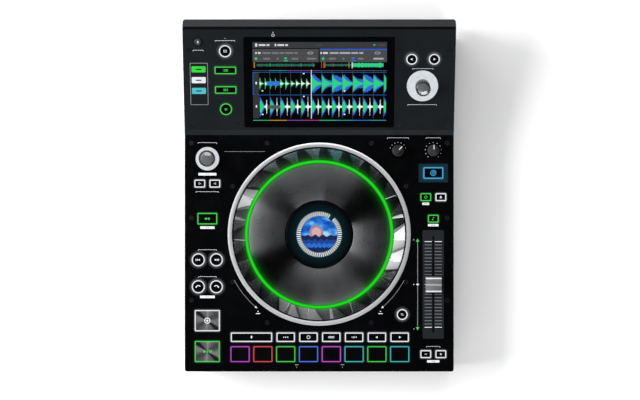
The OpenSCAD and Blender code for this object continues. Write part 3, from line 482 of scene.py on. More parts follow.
def haze():
    """Faint light that fades outwards round the display's ticks."""
    material = shader("display haze", (0.001, 0.0015, 0.002), 0.08)
    _, radius = polar(material)
    fading = [(0.50, (0.004, 0.030, 0.036)), (0.58, (0.001, 0.010, 0.013)), (0.76, BLACK)]
    emit(material, calculate(material, "MULTIPLY", radius, 20), fading)
    return material


def ring_light(colour, glow, inner, outer):
    """Light guide ring, brightest along its middle."""
    material = shader(
        "ring light", scaled(colour, 0.06), 0.4, Specular_IOR_Level=0.2, Emission_Strength=glow
    )
    _, radius = polar(material)
    outwards = calculate(material, "SUBTRACT", radius, inner * MM)
    across = calculate(material, "DIVIDE", outwards, (outer - inner) * MM)
    edge = scaled(colour, 0.30)
    ramp(material, across, [(0.0, edge), (0.42, colour), (0.62, colour), (1.0, edge)], "Emission Color")
    return material


def cover_glass():
    """Black glass with a coat against reflections and faint finger smears."""
    material = shader("cover glass", (0.0012, 0.0013, 0.0016), 0.06, Specular_IOR_Level=0.12)
    spread(material, noise(material, 24, 5, (1, 2.2, 1)), 0.05, 0.16)
    return material


def glow_coat(base, colour):
    """Coat that catches a lit frame's light; the fade attribute runs from 1 at the frame to 0."""
    material = powder_coat(f"{base} lit {colour}", *COATS[base])
    fade = parts(material)[0].new("ShaderNodeAttribute")
    fade.attribute_name = "fade"
    light = scaled(lamp_colour(colour), 0.16)
    emit(material, fade.outputs["Fac"], [(0.0, BLACK), (0.5, scaled(light, 0.22)), (1.0, light)])
    return material


FINISHES = {  # what makes the material, then its name, dark, light, roughness, grain and shine
    "deck": (powder_coat, "deck coat", *COATS["deck"]),
    "console": (console_paint,),
    "chassis": (powder_coat, "chassis coat", (0.02, 0.02, 0.022), (0.028, 0.028, 0.03), 0.55),
    "rubber": (moulded, "foot rubber", (0.012, 0.012, 0.012), (0.02, 0.02, 0.02), 0.75, 900),
    "screw": (metal, "black screw", (0.022, 0.022, 0.024), (0.036, 0.036, 0.038), 0.36),
    "board": (moulded, "solder resist", (0.01, 0.07, 0.03), (0.02, 0.11, 0.05), 0.4, 700),
    "socket": (moulded, "socket plastic", (0.012, 0.012, 0.013), (0.02, 0.02, 0.021), 0.4),
    "trim": (trim_metal,),
    "blades": (bladed_metal,),
    "plate": (grooved_plate,),
    "cap": (moulded, "button cap", (0.004, 0.004, 0.005), (0.007, 0.007, 0.008), 0.38, 1800, 0.2),
    "face": (moulded, "button face", (0.0012, 0.0012, 0.0015), (0.002, 0.002, 0.0024), 0.2, 900, 0.1),
    "spun cue": (spun_face, "cue"),
    "spun play": (spun_face, "play"),
    "knob": (moulded, "knob plastic", (0.016, 0.017, 0.019), (0.024, 0.025, 0.028), 0.24),
    "knob cap": (knob_cap,),
    "dark knob": (moulded, "dark knob plastic", (0.022, 0.022, 0.024), (0.034, 0.034, 0.037), 0.2),
    "shaft": (metal, "shaft steel", (0.45, 0.46, 0.48), (0.6, 0.61, 0.63), 0.3),
    "fader plate": (powder_coat, "fader plate", (0.010, 0.0125, 0.0145), (0.0125, 0.015, 0.017), 0.45),
    "fader slot": (
        moulded, "fader slot", (0.0008, 0.0008, 0.0008), (0.0014, 0.0014, 0.0014), 0.6, 1800, 0.05
    ),
    "fader silver": (moulded, "fader cap lacquer", (0.10, 0.10, 0.105), (0.13, 0.13, 0.135), 0.35),
    "fader line": (moulded, "fader cap line", (0.24, 0.24, 0.25), (0.30, 0.30, 0.31), 0.35),
    "fader band": (moulded, "fader cap band", (0.55, 0.56, 0.57), (0.66, 0.67, 0.68), 0.3),
    "print": (moulded, "white print", (0.62, 0.63, 0.65), (0.72, 0.73, 0.75), 0.5),
    "grey print": (moulded, "grey print", (0.20, 0.205, 0.215), (0.26, 0.265, 0.275), 0.5),
    "tick": (moulded, "fader tick", (0.12, 0.125, 0.14), (0.15, 0.155, 0.17), 0.5, 1800, 0.2),
    "glass": (cover_glass,),
    "clouds": (clouds,),
    "haze": (haze,),
}
made = {}


def finish(name):
    """The named material, made when it is first asked for; a lamp's name is its colour and glow."""
    if name not in made:
        if name in FINISHES:
            maker, *values = FINISHES[name]
            made[name] = maker(*values)
        else:
            colour, glow = name.split(" ")
            made[name] = lamp(f"lamp {name}", lamp_colour(colour), float(glow))
    return made[name]


def shades(prefix, colours, glow=1.0):
    """Evenly lit materials of a display, from names and colours."""
    return [lamp(f"{prefix} {name}", colour, glow, 0.94) for name, colour in colours.items()]


# ---------------------------------------------------------------- flat shapes, in millimetres


def place(x, y, z=0.0, turn=0.0):
    """Matrix to a point, turned about the upright axis by degrees."""
    return Matrix.Translation((x, y, z)) @ Matrix.Rotation(math.radians(turn), 4, "Z")


def mark(faces, index):
    """Gives faces one of their piece's materials."""
    for face in faces:
        face.material_index = index


def faces_of(verts):
    """Faces that meet the vertices."""
    return {f for v in verts for f in v.link_faces}


def bar(bm, x, y, w, l, turn=0.0, index=0, z=0.0):
    """Flat oblong, w along X and l along Y before it is turned."""
    matrix = place(x, y, z, turn) @ Matrix.Diagonal((w, l, 1, 1))
    grid = bmesh.ops.create_grid(bm, x_segments=1, y_segments=1, size=0.5, matrix=matrix)
    mark(faces_of(grid["verts"]), index)
    return grid["verts"]


def disc(bm, x, y, r, index=0, segments=40, z=0.0):
    """Flat round face."""
    circle = bmesh.ops.create_circle(bm, cap_ends=True, segments=segments, radius=r, matrix=place(x, y, z))
    mark(faces_of(circle["verts"]), index)
    return circle["verts"]


def wedge(bm, x, y, size, heading, index=0, z=0.0, width=1.0):
    """Flat triangle that points along its heading in degrees from +X."""
    point = Matrix.Diagonal((1, width, 1, 1)) @ Matrix.Rotation(-math.pi / 2, 4, "Z")
    matrix = place(x, y, z, heading) @ point
    shape = bmesh.ops.create_circle(bm, cap_ends=True, segments=3, radius=size, matrix=matrix)
    mark(faces_of(shape["verts"]), index)


def arc(bm, x, y, r, w, start, end, index=0, z=0.0, steps=None):
    """Flat band of width w along an arc of radius r; angles in degrees from +X."""
    turn = place(x, y, z, start)
    ends = [bm.verts.new(turn @ Vector((r + side * w / 2, 0, 0))) for side in (-1, 1)]
    span = abs(end - start)
    bmesh.ops.spin(
        bm, geom=[*ends, bm.edges.new(ends)], cent=(x, y, z), axis=(0, 0, 1),
        angle=math.radians(end - start), steps=steps or max(3, int(span / 6)),
        use_merge=abs(span - 360) < 0.01,
    )
    # The band is all that hangs together with its first edge
    found = set()
    stack = [v for v in ends if v.is_valid]
    while stack:
        v = stack.pop()
        if v not in found:
            found.add(v)
            stack.extend(e.other_vert(v) for e in v.link_edges)
    mark(faces_of(found), index)


def rounded(bm, x, y, w, l, r, z=0.0, index=0):
    """Flat rounded oblong as one face, or a disc where its corners meet."""
    if r * 2 >= min(w, l) - 0.01 and abs(w - l) < 0.01:
        return next(iter(faces_of(disc(bm, x, y, w / 2, index, 56, z))))
    verts = bar(bm, x, y, w, l, 0, index, z)
    offset = min(r, min(w, l) / 2 - 0.01)
    bmesh.ops.bevel(bm, geom=verts, offset=offset, segments=6, profile=0.5, affect="VERTICES", material=-1)
    near = [f for f in bm.faces if (f.calc_center_median() - Vector((x, y, z))).length < 0.01]
    return max(near, key=lambda f: f.calc_area())


def outline(bm, x, y, w, l, r, t, index=0, z=0.0):
    """Flat rounded frame of line width t."""
    face = rounded(bm, x, y, w, l, r, z, index)
    bmesh.ops.inset_region(bm, faces=[face], thickness=t, use_even_offset=True, use_boundary=True)
    bmesh.ops.delete(bm, geom=[face], context="FACES_ONLY")


def band(bm, x, y, steps, z, index=0):
    """Flat band through rounded outlines (w, l, r, value of the fade attribute)."""
    fade = bm.verts.layers.float.get("fade") or bm.verts.layers.float.new("fade")
    before = None
    for w, l, r, value in steps:
        face = rounded(bm, x, y, w, l, r, z, index)
        around = sorted(face.verts, key=lambda v: (math.atan2(v.co.y - y, v.co.x - x) + 0.01) % math.tau)
        for vert in around:
            vert[fade] = value
        bmesh.ops.delete(bm, geom=[face], context="FACES_ONLY")
        if before:
            rims = [(before[i - 1], before[i], around[i], around[i - 1]) for i in range(len(around))]
            mark([bm.faces.new(rim) for rim in rims], index)
        before = around


# ---------------------------------------------------------------- solid shapes, in millimetres


def terrace(bm, x, y, steps):
    """Stack of rounded outlines (w, l, r, z, material of the band below) bridged into one closed cap."""
    before = None
    for level, (w, l, r, z, index) in enumerate(steps):
        face = rounded(bm, x, y, w, l, r, z, index)
        edges = list(face.edges)
        if before:
            mark(bmesh.ops.bridge_loops(bm, edges=before + edges)["faces"], index)
        if 0 < level < len(steps) - 1:
            bmesh.ops.delete(bm, geom=[face], context="FACES_ONLY")
        before = edges


def pull(bm, face, along):
    """Pulls a face along a vector into a prism and gives back its far end."""
    grown = bmesh.ops.extrude_face_region(bm, geom=[face])["geom"]
    bmesh.ops.translate(bm, vec=along, verts=[v for v in grown if isinstance(v, bmesh.types.BMVert)])
    return next(f for f in grown if isinstance(f, bmesh.types.BMFace))


def soften(bm, edges, offset, segments):
    """Rounds edges off."""
    bmesh.ops.bevel(
        bm, geom=edges, offset=offset, segments=segments, profile=0.5, affect="EDGES", material=-1
    )


def lathe(bm, profile, x, y, steps):
    """Closed ring from an outline of (radius, height) points round an upright axis."""
    verts = [bm.verts.new((x + r, y, z)) for r, z in profile]
    edges = [bm.edges.new((verts[i - 1], verts[i])) for i in range(len(verts))]
    bmesh.ops.spin(
        bm, geom=verts + edges, cent=(x, y, 0), axis=(0, 0, 1), angle=math.tau, steps=steps, use_merge=True
    )
    bmesh.ops.remove_doubles(bm, verts=bm.verts, dist=0.0005)


def piece(name, bm, finishes, body=CASE, where=DECK, closed=True):
    """Turns a bmesh in millimetres into a piece that rides on a body; finishes are names or materials."""
    if closed:
        bmesh.ops.recalc_face_normals(bm, faces=bm.faces)
    else:
        bm.normal_update()
        bmesh.ops.reverse_faces(bm, faces=[f for f in bm.faces if f.normal.z < 0])
    bm.transform(TO_METRES @ where)
    mesh = bpy.data.meshes.new(name)
    bm.to_mesh(mesh)
    bm.free()
    for item in finishes:
        mesh.materials.append(finish(item) if isinstance(item, str) else item)
    for polygon in mesh.polygons:
        polygon.use_smooth = True
    mesh.set_sharp_from_angle(angle=math.radians(SHARP))
    made_piece = bpy.data.objects.new(name, mesh)
    bpy.context.scene.collection.objects.link(made_piece)
    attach(made_piece, body)
    return made_piece


def printed(name, bm, finishes, body=CASE, where=DECK):
    """Piece of flat shapes that face upwards."""
    return piece(name, bm, finishes, body, where, closed=False)


def coat(node, name):
    """Gives a CAD node its finish."""
    mesh = frame["nodes"][node].data
    mesh.materials.clear()
    mesh.materials.append(finish(name))


# ---------------------------------------------------------------- symbols on the buttons


def skip(way):
    """Two arrowheads and a bar, to the left (-1) or the right (1)."""
    heads = [(wedge, side * way, 0, 1.5, 90 - 90 * way) for side in (-1.2, 1.2)]
    return [*heads, (bar, 3.0 * way, 0, 0.7, 2.7)]


def jump(way):
    """Arrow over an arc, down to the left (-1) or the right (1)."""
    return [(arc, 0, -0.9, 2.4, 0.95, 25, 155), (wedge, 2.5 * way, -0.4, 1.35, -90 + way * 18)]


def bracket(way):
    """Bracket before (1) or after (-1) a dot."""
    hooks = [(bar, -0.7 * way, y, 1.3, 0.5) for y in (1.1, -1.1)]
    return [(bar, -1.3 * way, 0, 0.55, 2.7), *hooks, (disc, 1.1 * way, 0, 0.55, 0, 14)]


SYMBOLS = {  # shapes with what their functions take
    "play": [
        (wedge, -3.4, 0, 2.6, 0), (bar, 0.6, 0, 0.5, 4.6, -22),
        *((bar, x, 0, 1.1, 3.9) for x in (3.1, 5.1)),
    ],
    "cue": [(arc, 0, 0, 3.1, 1.0, 0, 360), (disc, 0, 0, 1.3)],
    "skip_back": skip(-1),
    "skip_forward": skip(1),
    "jump_back": jump(-1),
    "jump_forward": jump(1),
    "loop_in": bracket(1),
    "loop_out": bracket(-1),
    "reverse": [(wedge, x, 0, 1.9, 180) for x in (1.6, -1.6)],
    "bend_plus": [(bar, 0, 0, 3.2, 0.8), (bar, 0, 0, 0.8, 3.2)],
    "bend_minus": [(bar, 0, 0, 3.2, 0.8)],
    "key_lock": [
        (disc, -0.9, -1.3, 0.85, 0, 16), (bar, -0.2, 0.2, 0.4, 3.2), (bar, 0.5, 1.5, 1.7, 0.6, -18)
    ],
    "shift": [(wedge, 0, 0.7, 1.7, 90), (bar, 0, -0.9, 1.0, 1.6)],
    "slip": [(bar, -0.6, 0.9, 3.0, 0.7), (bar, 0.6, -0.9, 3.0, 0.7)],
    "vinyl": [(arc, 0, 0, 2.9, 0.5, 0, 360), (arc, 0, 0, 1.5, 0.4, 0, 360), (disc, 0, 0, 0.5, 0, 14)],
    "sync": [
        (arc, 0, 0, 1.5, 0.5, 30, 160), (arc, 0, 0, 1.5, 0.5, 210, 340),
        (wedge, 1.5, 0.3, 0.8, -80), (wedge, -1.5, -0.3, 0.8, 100),
    ],
    "master": [(wedge, 0, 0.3, 1.6, 90), (bar, 0, -1.2, 3.0, 0.5)],
    "mode_button_1": [(wedge, i * 3.0, 0, 1.3, 0) for i in (-1, 0, 1)],
    "mode_button_2": [(arc, 0, 0, 1.8, 0.6, 40, 340), (wedge, 1.8, 0.3, 1.0, 100)],
    "mode_button_3": [(arc, i * 2.6, 0, 1.1, 0.55, 0, 360) for i in (-1, 0, 1)],
    "mode_button_4": [(bar, (i - 2) * 1.7, 0, 0.7, 1.4 + 0.8 * (i % 3)) for i in range(5)],
    "page_left": [(wedge, 0, 0, 1.6, 180)],
    "page_right": [(wedge, 0, 0, 1.6, 0)],
    "eject": [(wedge, 0, 0.45, 1.3, 90), (bar, 0, -1.0, 2.3, 0.6)],
    "view": [(outline, 0, 0, 4.2, 3.0, 1 / 3, 0.4), (bar, 0, 0, 2.6, 0.4)],
    "source": [
        stroke for y in (-1.15, 0, 1.15)
        for stroke in ((bar, 0.9, y, 5.0, 0.5), (disc, -2.8, y, 0.32, 0, 12))
    ],
    "shortcut": [(bar, j * 2.1, i * 0.95, 1.3, 1.1) for i in (-1, 1) for j in (-1, 0, 1)],
    "layer": [(bar, 0, y, 3.4, 0.55, 14) for y in (0.8, -0.2, -1.2)],
    "back": [(wedge, 0, 0, 1.6, 180)],
    "forward": [(wedge, 0, 0, 1.6, 0)],
}


def add_symbol(name, lamp_name, x, y, z, where=DECK, scale=1.0):
    """Lit symbol on a button."""
    bm = bmesh.new()
    for shape, *sizes in SYMBOLS[name]:
        shape(bm, *sizes)
    bm.transform(place(x, y, z + LIFT) @ Matrix.Diagonal((scale, scale, 1, 1)))
    printed(f"{name}_symbol", bm, [lamp_name], key_node(name), where)


# ---------------------------------------------------------------- buttons

DECK_KEYS = [  # name, lamp, symbol scale
    ("loop_in", "white", 0.8), ("loop_out", "white", 0.8), ("reverse", "green", 1.0),
    ("skip_back", "white", 0.95), ("skip_forward", "white", 0.95),
    ("jump_back", "white", 1.0), ("jump_forward", "white", 1.0),
    ("cue", "white", 1.0), ("play", "green", 0.95), ("shift", "white", 0.9), ("slip", "white", 0.8),
    ("vinyl", "cyan", 1.1), ("sync", "green", 1.0), ("master", "white", 0.9), ("key_lock", "green", 0.9),
    ("bend_minus", "white", 0.8), ("bend_plus", "white", 0.8),
    ("mode_button_1", "white", 0.8), ("mode_button_2", "white", 1.0),
    ("mode_button_3", "white", 0.9), ("mode_button_4", "white", 0.8),
    ("page_left", "white", 1.0), ("page_right", "white", 1.0),
]
PAD_LAMPS = ["purple", "red", "green", "blue", "magenta", "teal", "green", "teal"]
FACE_KEYS = [  # name, distance below the top of the face, length, lamp, symbol scale
    ("view", 25.5, 15.0, "white", 0.9), ("source", 48.4, 9.7, "green", 0.9),
    ("shortcut", 71.9, 9.7, "green", 0.9), ("layer", 95.2, 15.0, "green", 0.9),
    ("back", 35.1, 13.5, "white", 1.0), ("forward", 35.1, 13.5, "white", 1.0),
]
EJECT_DROP = 14.5
WINDOWS = [("lime", 47.6), ("white", 60.55), ("aqua", 73.5)]  # lamp, distance below the top of the face


def key_node(name):
    """CAD node of a button."""
    return name if "button" in name or name.startswith("pad_") else name + "_button"


def key_box(name):
    """Centre and size of a button's cap in plan, from its CAD node."""
    low, high = node_box(key_node(name))
    return *middle(key_node(name)), high.x - low.x - 2 * FLANGE, high.y - low.y - 2 * FLANGE


def is_round(w, l):
    """A button as wide as it is long is round."""
    return abs(w - l) < 0.01


def corner(w, l):
    """Radius of a button's corners."""
    return w / 2 if is_round(w, l) else KEY_R


def lit_key(name, box, lamp_name, face="face", where=DECK, frame_width=None):
    """Cap with a lit frame, in place of the plain CAD cap."""
    x, y, w, l = box
    sets = bpy.context.scene.player_buttons
    r = corner(w, l)
    t = frame_width or sets.frame_width
    steps = [  # inset, height, material
        (0, CAP_FOOT, 0), (0, CAP_RISE - 0.2, 0), (0.2, CAP_RISE, 0), (0.3, CAP_RISE, 0),
        (0.3 + t, CAP_RISE, 1), (0.45 + t, CAP_RISE - DISH, 2),
    ]
    bm = bmesh.new()
    terrace(bm, x, y, [(w - 2 * i, l - 2 * i, max(r - i, 0.3), z, index) for i, z, index in steps])
    finishes = ["cap", f"{lamp_name} {sets.glow:.2f}", face]
    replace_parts(piece(f"{name}_cap", bm, finishes, key_node(name), where), key_node(name))


def light_spill(bm, box, reach, index):
    """Band round a cap that fades outwards."""
    x, y, w, l = box
    r = corner(w, l)
    fades = ((0, 1), (reach * 0.4, 0.5), (reach, 0))
    steps = [(w + 2 * grow, l + 2 * grow, r + grow, value) for grow, value in fades]
    band(bm, x, y, steps, 0.6 * LIFT, index)


class PLAYER_OT_deck_keys(bpy.types.Operator):
    """Lit buttons of the deck"""

    bl_idname = "player.deck_keys"
    bl_label = "Deck buttons"

    def execute(self, context):
        for name, lamp_name, scale in DECK_KEYS:
            box = key_box(name)
            lit_key(name, box, lamp_name, f"spun {name}" if name in ("cue", "play") else "face")
            add_symbol(name, f"{lamp_name} {SYMBOL_GLOW}", *box[:2], CAP_RISE - DISH, scale=scale)
        self.spill()
        return {"FINISHED"}

    def spill(self):
        """Light that the frames throw on the deck round them."""
        bm = bmesh.new()
        lit = [(name, lamp_name) for name, lamp_name, _ in DECK_KEYS if name != "vinyl"]
        lit += [(f"pad_{i + 1}", lamp_name) for i, lamp_name in enumerate(PAD_LAMPS)]
        colours = sorted({lamp_name for _, lamp_name in lit})
        for name, lamp_name in lit:
            box = key_box(name)
            light_spill(bm, box, WIDE_SPILL if is_round(*box[2:]) else 1.5, colours.index(lamp_name))
        printed("deck_light_spill", bm, [glow_coat("deck", colour) for colour in colours])


class PLAYER_OT_pads(bpy.types.Operator):
    """Row of performance pads"""

    bl_idname = "player.pads"
    bl_label = "Pads"

    def execute(self, context):
        for i, lamp_name in enumerate(PAD_LAMPS):
            name = f"pad_{i + 1}"
            lit_key(name, key_box(name), lamp_name, frame_width=1.1)
        return {"FINISHED"}


class PLAYER_OT_face_keys(bpy.types.Operator):
    """Lit buttons of the console face"""

    bl_idname = "player.face_keys"
    bl_label = "Console buttons"

    def execute(self, context):
        spill = bmesh.new()
        for name, drop, l, lamp_name, scale in FACE_KEYS:
            x, _, w, _ = key_box(name)
            box = (x, FACE_TOP - drop, w, l)
            lit_key(name, box, lamp_name, where=FACE)
            add_symbol(name, f"{lamp_name} {SYMBOL_GLOW}", *box[:2], CAP_RISE - DISH, FACE, scale)
            green = lamp_name == "green"
            light_spill(spill, box, 2.0 if green else WIDE_SPILL, int(green))
        coats = [glow_coat("console", "white"), glow_coat("console", "green")]
        printed("console_light_spill", spill, coats, where=FACE)
        x, _, w, _ = key_box("eject")
        t = FACE_TOP - EJECT_DROP
        bm = bmesh.new()
        top = pull(bm, rounded(bm, x, t, w, w, w / 2, CAP_FOOT), (0, 0, CAP_RISE - CAP_FOOT))
        soften(bm, list(top.edges), 0.6, 3)
        cap = piece("eject_cap", bm, ["dark knob"], "eject_button", FACE)
        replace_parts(cap, "eject_button")
        add_symbol("eject", "white 0.90", x, t, CAP_RISE, FACE)
        return {"FINISHED"}


# ---------------------------------------------------------------- case and print


class PLAYER_OT_case(bpy.types.Operator):
    """Finish of the case, console, chassis, screws, feet and sockets"""

    bl_idname = "player.case"
    bl_label = "Case"

    def execute(self, context):
        for node, name in {
            "deck_panel": "deck", "display_console": "console", "bottom_chassis": "chassis",
            "feet": "rubber", "panel_screws": "screw", "circuit_boards": "board", "socket_board": "socket",
            "power_rocker": "dark knob", "select_shaft": "shaft", "loop_shaft": "shaft",
        }.items():
            coat(node, name)
        return {"FINISHED"}


def group_line(bm, x, y, w):
    """Thin bracket that gathers a group of controls."""
    bar(bm, x, y, w, 0.35, 0, 0, LIFT)
    for side in (-1, 1):
        bar(bm, x + side * w / 2, y - 0.6, 0.35, 1.4, 0, 0, LIFT)


def pill(bm, x, y, w, l):
    """White field with a dark symbol on it."""
    rounded(bm, x, y, w, l, 0.5, LIFT, 0)
    wedge(bm, x - 1.4, y, 0.8, 90, 2, 2 * LIFT)
    bar(bm, x + 1.2, y, 2.4, 0.5, 0, 2, 2 * LIFT)


class PLAYER_OT_deck_print(bpy.types.Operator):
    """Printed lines, pills, scales and arrows on the deck"""

    bl_idname = "player.deck_print"
    bl_label = "Deck print"

    def execute(self, context):
        bm = bmesh.new()
        self.groups(bm)
        self.wheel_marks(bm)
        # Hairline left of the wheel's top
        bar(bm, -88.7, 53.7, 48.5, 0.35, 0, 1, LIFT)
        # Marks over the front ports
        for x in (-26.8, 27.6):
            wedge(bm, x, FRONT_EDGE + 5.2, 0.8, -90, 1, LIFT)
            bar(bm, x, FRONT_EDGE + 8.2, 4.0, 0.8, 0, 1, LIFT)
        # Dots round the two side knobs: first angle, step, count
        for node, first, step, count in (("stop_time_knob", -50, 28, 11), ("tension_knob", 20, 23.3, 7)):
            x, y = middle(node)
            for i in range(count):
                spot = Vector((x, y, 0)) + DOTS_R * towards(first + step * i)
                disc(bm, spot.x, spot.y, 0.42, 0, 12, LIFT)
        # Pitch scale line
        x, y = node_box("fader_track")[0].x - 5.9, middle("fader_track")[1]
        bar(bm, x, y, 0.55, 100, 0, 1, LIFT)
        bar(bm, x, y, 3.0, 1.6, 0, 0, 2 * LIFT)
        for end in (53, -53):
            bar(bm, x - 4.6, y + end, 1.2, 0.5, 0, 0, LIFT)
        bar(bm, x - 4.6, y, 1.0, 1.0, 45, 0, LIFT)
        printed("deck_print", bm, ["print", "grey print", "face"])
        bm = bmesh.new()
        for side in (1, -1):
            wedge(bm, x, y + side * 52.0, 2.5, side * 90, 0, LIFT)
        printed("pitch_arrows", bm, ["green 1.10"])
        # Blue-grey field sunk round the vinyl button
        x, y, w, l = key_box("vinyl")
        bm = bmesh.new()
        steps = [(w, l, KEY_R, 1.0), (w + 3, l + 3, KEY_R + 1.5, 0.45), (w + 11.2, l + 8.2, 1.5, 0.12)]
        band(bm, x, y, steps, LIFT - 0.6)
        printed("vinyl_field", bm, [glow_coat("field", "cyan")])
        return {"FINISHED"}

    def groups(self, bm):
        """Brackets and pills round the groups of controls."""
        in_x, in_y, _, _ = key_box("loop_in")
        left = (in_x + key_box("loop_out")[0]) / 2
        loop_y = middle("loop_knob")[1]
        reverse_y, skip_y, jump_y = (key_box(name)[1] for name in ("reverse", "skip_back", "jump_back"))
        stop_x, knob_y = middle("stop_time_knob")
        tension_x = middle("tension_knob")[0]
        sync_x, sync_y, _, _ = key_box("sync")
        lock_x, lock_y, _, _ = key_box("key_lock")
        minus_x, bend_y, _, _ = key_box("bend_minus")
        bend_x = (minus_x + key_box("bend_plus")[0]) / 2
        for x, y, w in (
            (left, loop_y + 19.2, 22), (left, in_y - 9.6, 27), (left, skip_y + 12.0, 22),
            (left, jump_y + 12.0, 21), (tension_x, knob_y + 15.2, 25), (stop_x, knob_y + 15.2, 17),
            (bend_x, bend_y + 9.0, 16),
        ):
            group_line(bm, x, y, w)
        for x, y, w, l in (
            (left, loop_y - 18.4, 21.5, 3.0), (left, reverse_y - 10.6, 17, 3.0),
            (left, jump_y - 12.1, 17.5, 3.0), (sync_x, sync_y - 7.9, 8.2, 2.8),
            (lock_x, lock_y - 7.7, 12.6, 2.8), (bend_x, bend_y - 8.7, 14.6, 2.8),
        ):
            pill(bm, x, y, w, l)

    def wheel_marks(self, bm):
        """Direction arrows beside the wheel."""
        for side in (-1, 1):
            centre = -90 + side * 51.5
            arc(bm, WHEEL_X, WHEEL_Y, ARROWS_R, 0.4, centre - 10, centre + 10, 1, LIFT, 16)
            tip = Vector((WHEEL_X, WHEEL_Y, 0)) + ARROWS_R * towards(centre - side * 10.6)
            wedge(bm, tip.x, tip.y, 2.0, centre - side * 100, 0, LIFT, 0.7)
            wedge(bm, tip.x - side * 2.5, tip.y - 5.0, 1.0, 90 - side * 90, 0, LIFT)
            bar(bm, tip.x - side * 2.5, tip.y - 7.6, 5.0, 0.9, 0, 0, LIFT)


class PLAYER_OT_console_print(bpy.types.Operator):
    """Printed lines of the console"""

    bl_idname = "player.console_print"
    bl_label = "Console print"

    def execute(self, context):
        bm = bmesh.new()
        outline(bm, -141.5, 55.8, 20.9, 50.5, 0.8, 0.5, 1, LIFT)
        for x, drop, w in ((-141.9, 24.6, 12), (-110.2, 13.2, 23), (121.8, 46.6, 24), (121.8, 90.0, 34)):
            group_line(bm, x, FACE_TOP - drop, w)
        disc(bm, -110.2, FACE_TOP - 10.6, 0.35, 0, 10, LIFT)
        arc(bm, -54.0, FACE_TOP - 6.8, 1.5, 0.4, 0, 360, 0, LIFT, 24)
        disc(bm, -54.0, FACE_TOP - 3.4, 0.5, 0, 10, LIFT)
        printed("console_print", bm, ["print", "grey print"], where=FACE)
        return {"FINISHED"}


class PLAYER_OT_light_guides(bpy.types.Operator):
    """Lit discs under the knobs and the status windows"""

    bl_idname = "player.light_guides"
    bl_label = "Light guides"

    def execute(self, context):
        x = key_box("eject")[0]
        windows = []
        for lamp_name, drop in WINDOWS:
            name, t = f"window_{lamp_name}", FACE_TOP - drop
            bm = bmesh.new()
            top = pull(bm, rounded(bm, x, t, 16.4, 7.1, 1.0, -2.8), (0, 0, 3.0))
            soften(bm, list(top.edges), 0.15, 2)
            windows.append(piece(name, bm, [f"{lamp_name} 0.95"], where=FACE))
            bm = bmesh.new()
            bar(bm, x, t, 6.6, 1.3, 0, 0, 0.2 + LIFT)
            printed(f"{name}_mark", bm, ["face"], where=FACE)
        for name, (x, y), r, where in (
            ("select_halo", (SELECT_X, SELECT_T), 18.4, FACE), ("loop_halo", middle("loop_knob"), 13.9, DECK)
        ):
            bm = bmesh.new()
            lathe(bm, [(3.4, -1.4), (r, -1.4), (r, 0.0), (r - 0.25, 0.2), (3.4, 0.2)], x, y, 96)
            piece(name, bm, ["white 0.80"], where=where)
        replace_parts(windows[0], "light_guides")
        return {"FINISHED"}


# ---------------------------------------------------------------- wheel


class PLAYER_OT_wheel(bpy.types.Operator):
    """Bladed wheel, lit ring, grooved plate and trim ring"""

    bl_idname = "player.wheel"
    bl_label = "Wheel"

    def execute(self, context):
        sets = context.scene.player_wheel
        coat("wheel", "blades")
        self.trim_ring()
        low, high = node_box("wheel_top")
        floor, top, outer = low.z - DECK_TOP, high.z - DECK_TOP, (high.x - low.x) / 2
        inner = outer - RING_W
        bm = bmesh.new()
        chamfer = [(outer, top - 0.5), (outer - 0.6, top), (inner + 0.6, top), (inner, top - 0.5)]
        lathe(bm, [(inner, floor), (outer, floor), *chamfer], WHEEL_X, WHEEL_Y, ROUND)
        light = ring_light(sets.ring_colour, sets.ring_glow, inner, outer)
        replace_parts(piece("wheel_light_ring", bm, [light], "wheel"), "wheel_top")
        edge = inner - 0.4
        bm = bmesh.new()
        profile = [
            (PLATE_HOLE, floor), (edge, floor), (edge, top - 0.4), (edge - 0.4, top - 0.15),
            (PLATE_HOLE + 0.6, top - 0.15), (PLATE_HOLE, top - 0.5),
        ]
        lathe(bm, profile, WHEEL_X, WHEEL_Y, ROUND)
        piece("wheel_plate", bm, ["plate"], "wheel")
        return {"FINISHED"}

    def trim_ring(self):
        """Crowned ring round the wheel's well, with its sleeve through the deck."""
        low, high = node_box("wheel_trim_ring")
        floor, top = low.z - DECK_TOP, high.z - DECK_TOP
        inner, outer = WHEEL_R + RING_GAP, (high.x - low.x) / 2
        half, shoulder = (outer - inner) / 2, top * 0.45
        shares = (-0.9, -0.6, -0.3, 0, 0.3, 0.6, 0.9)
        crown = [(inner + half * (1 - share), top - 0.05 * (half * share) ** 2) for share in shares]
        sleeve = [(inner, floor), (inner + 1.2, floor), (inner + 1.2, 0), (outer, 0), (outer, shoulder)]
        bm = bmesh.new()
        lathe(bm, [*sleeve, *crown, (inner, shoulder)], WHEEL_X, WHEEL_Y, ROUND)
        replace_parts(piece("trim_ring", bm, ["trim"]), "wheel_trim_ring")


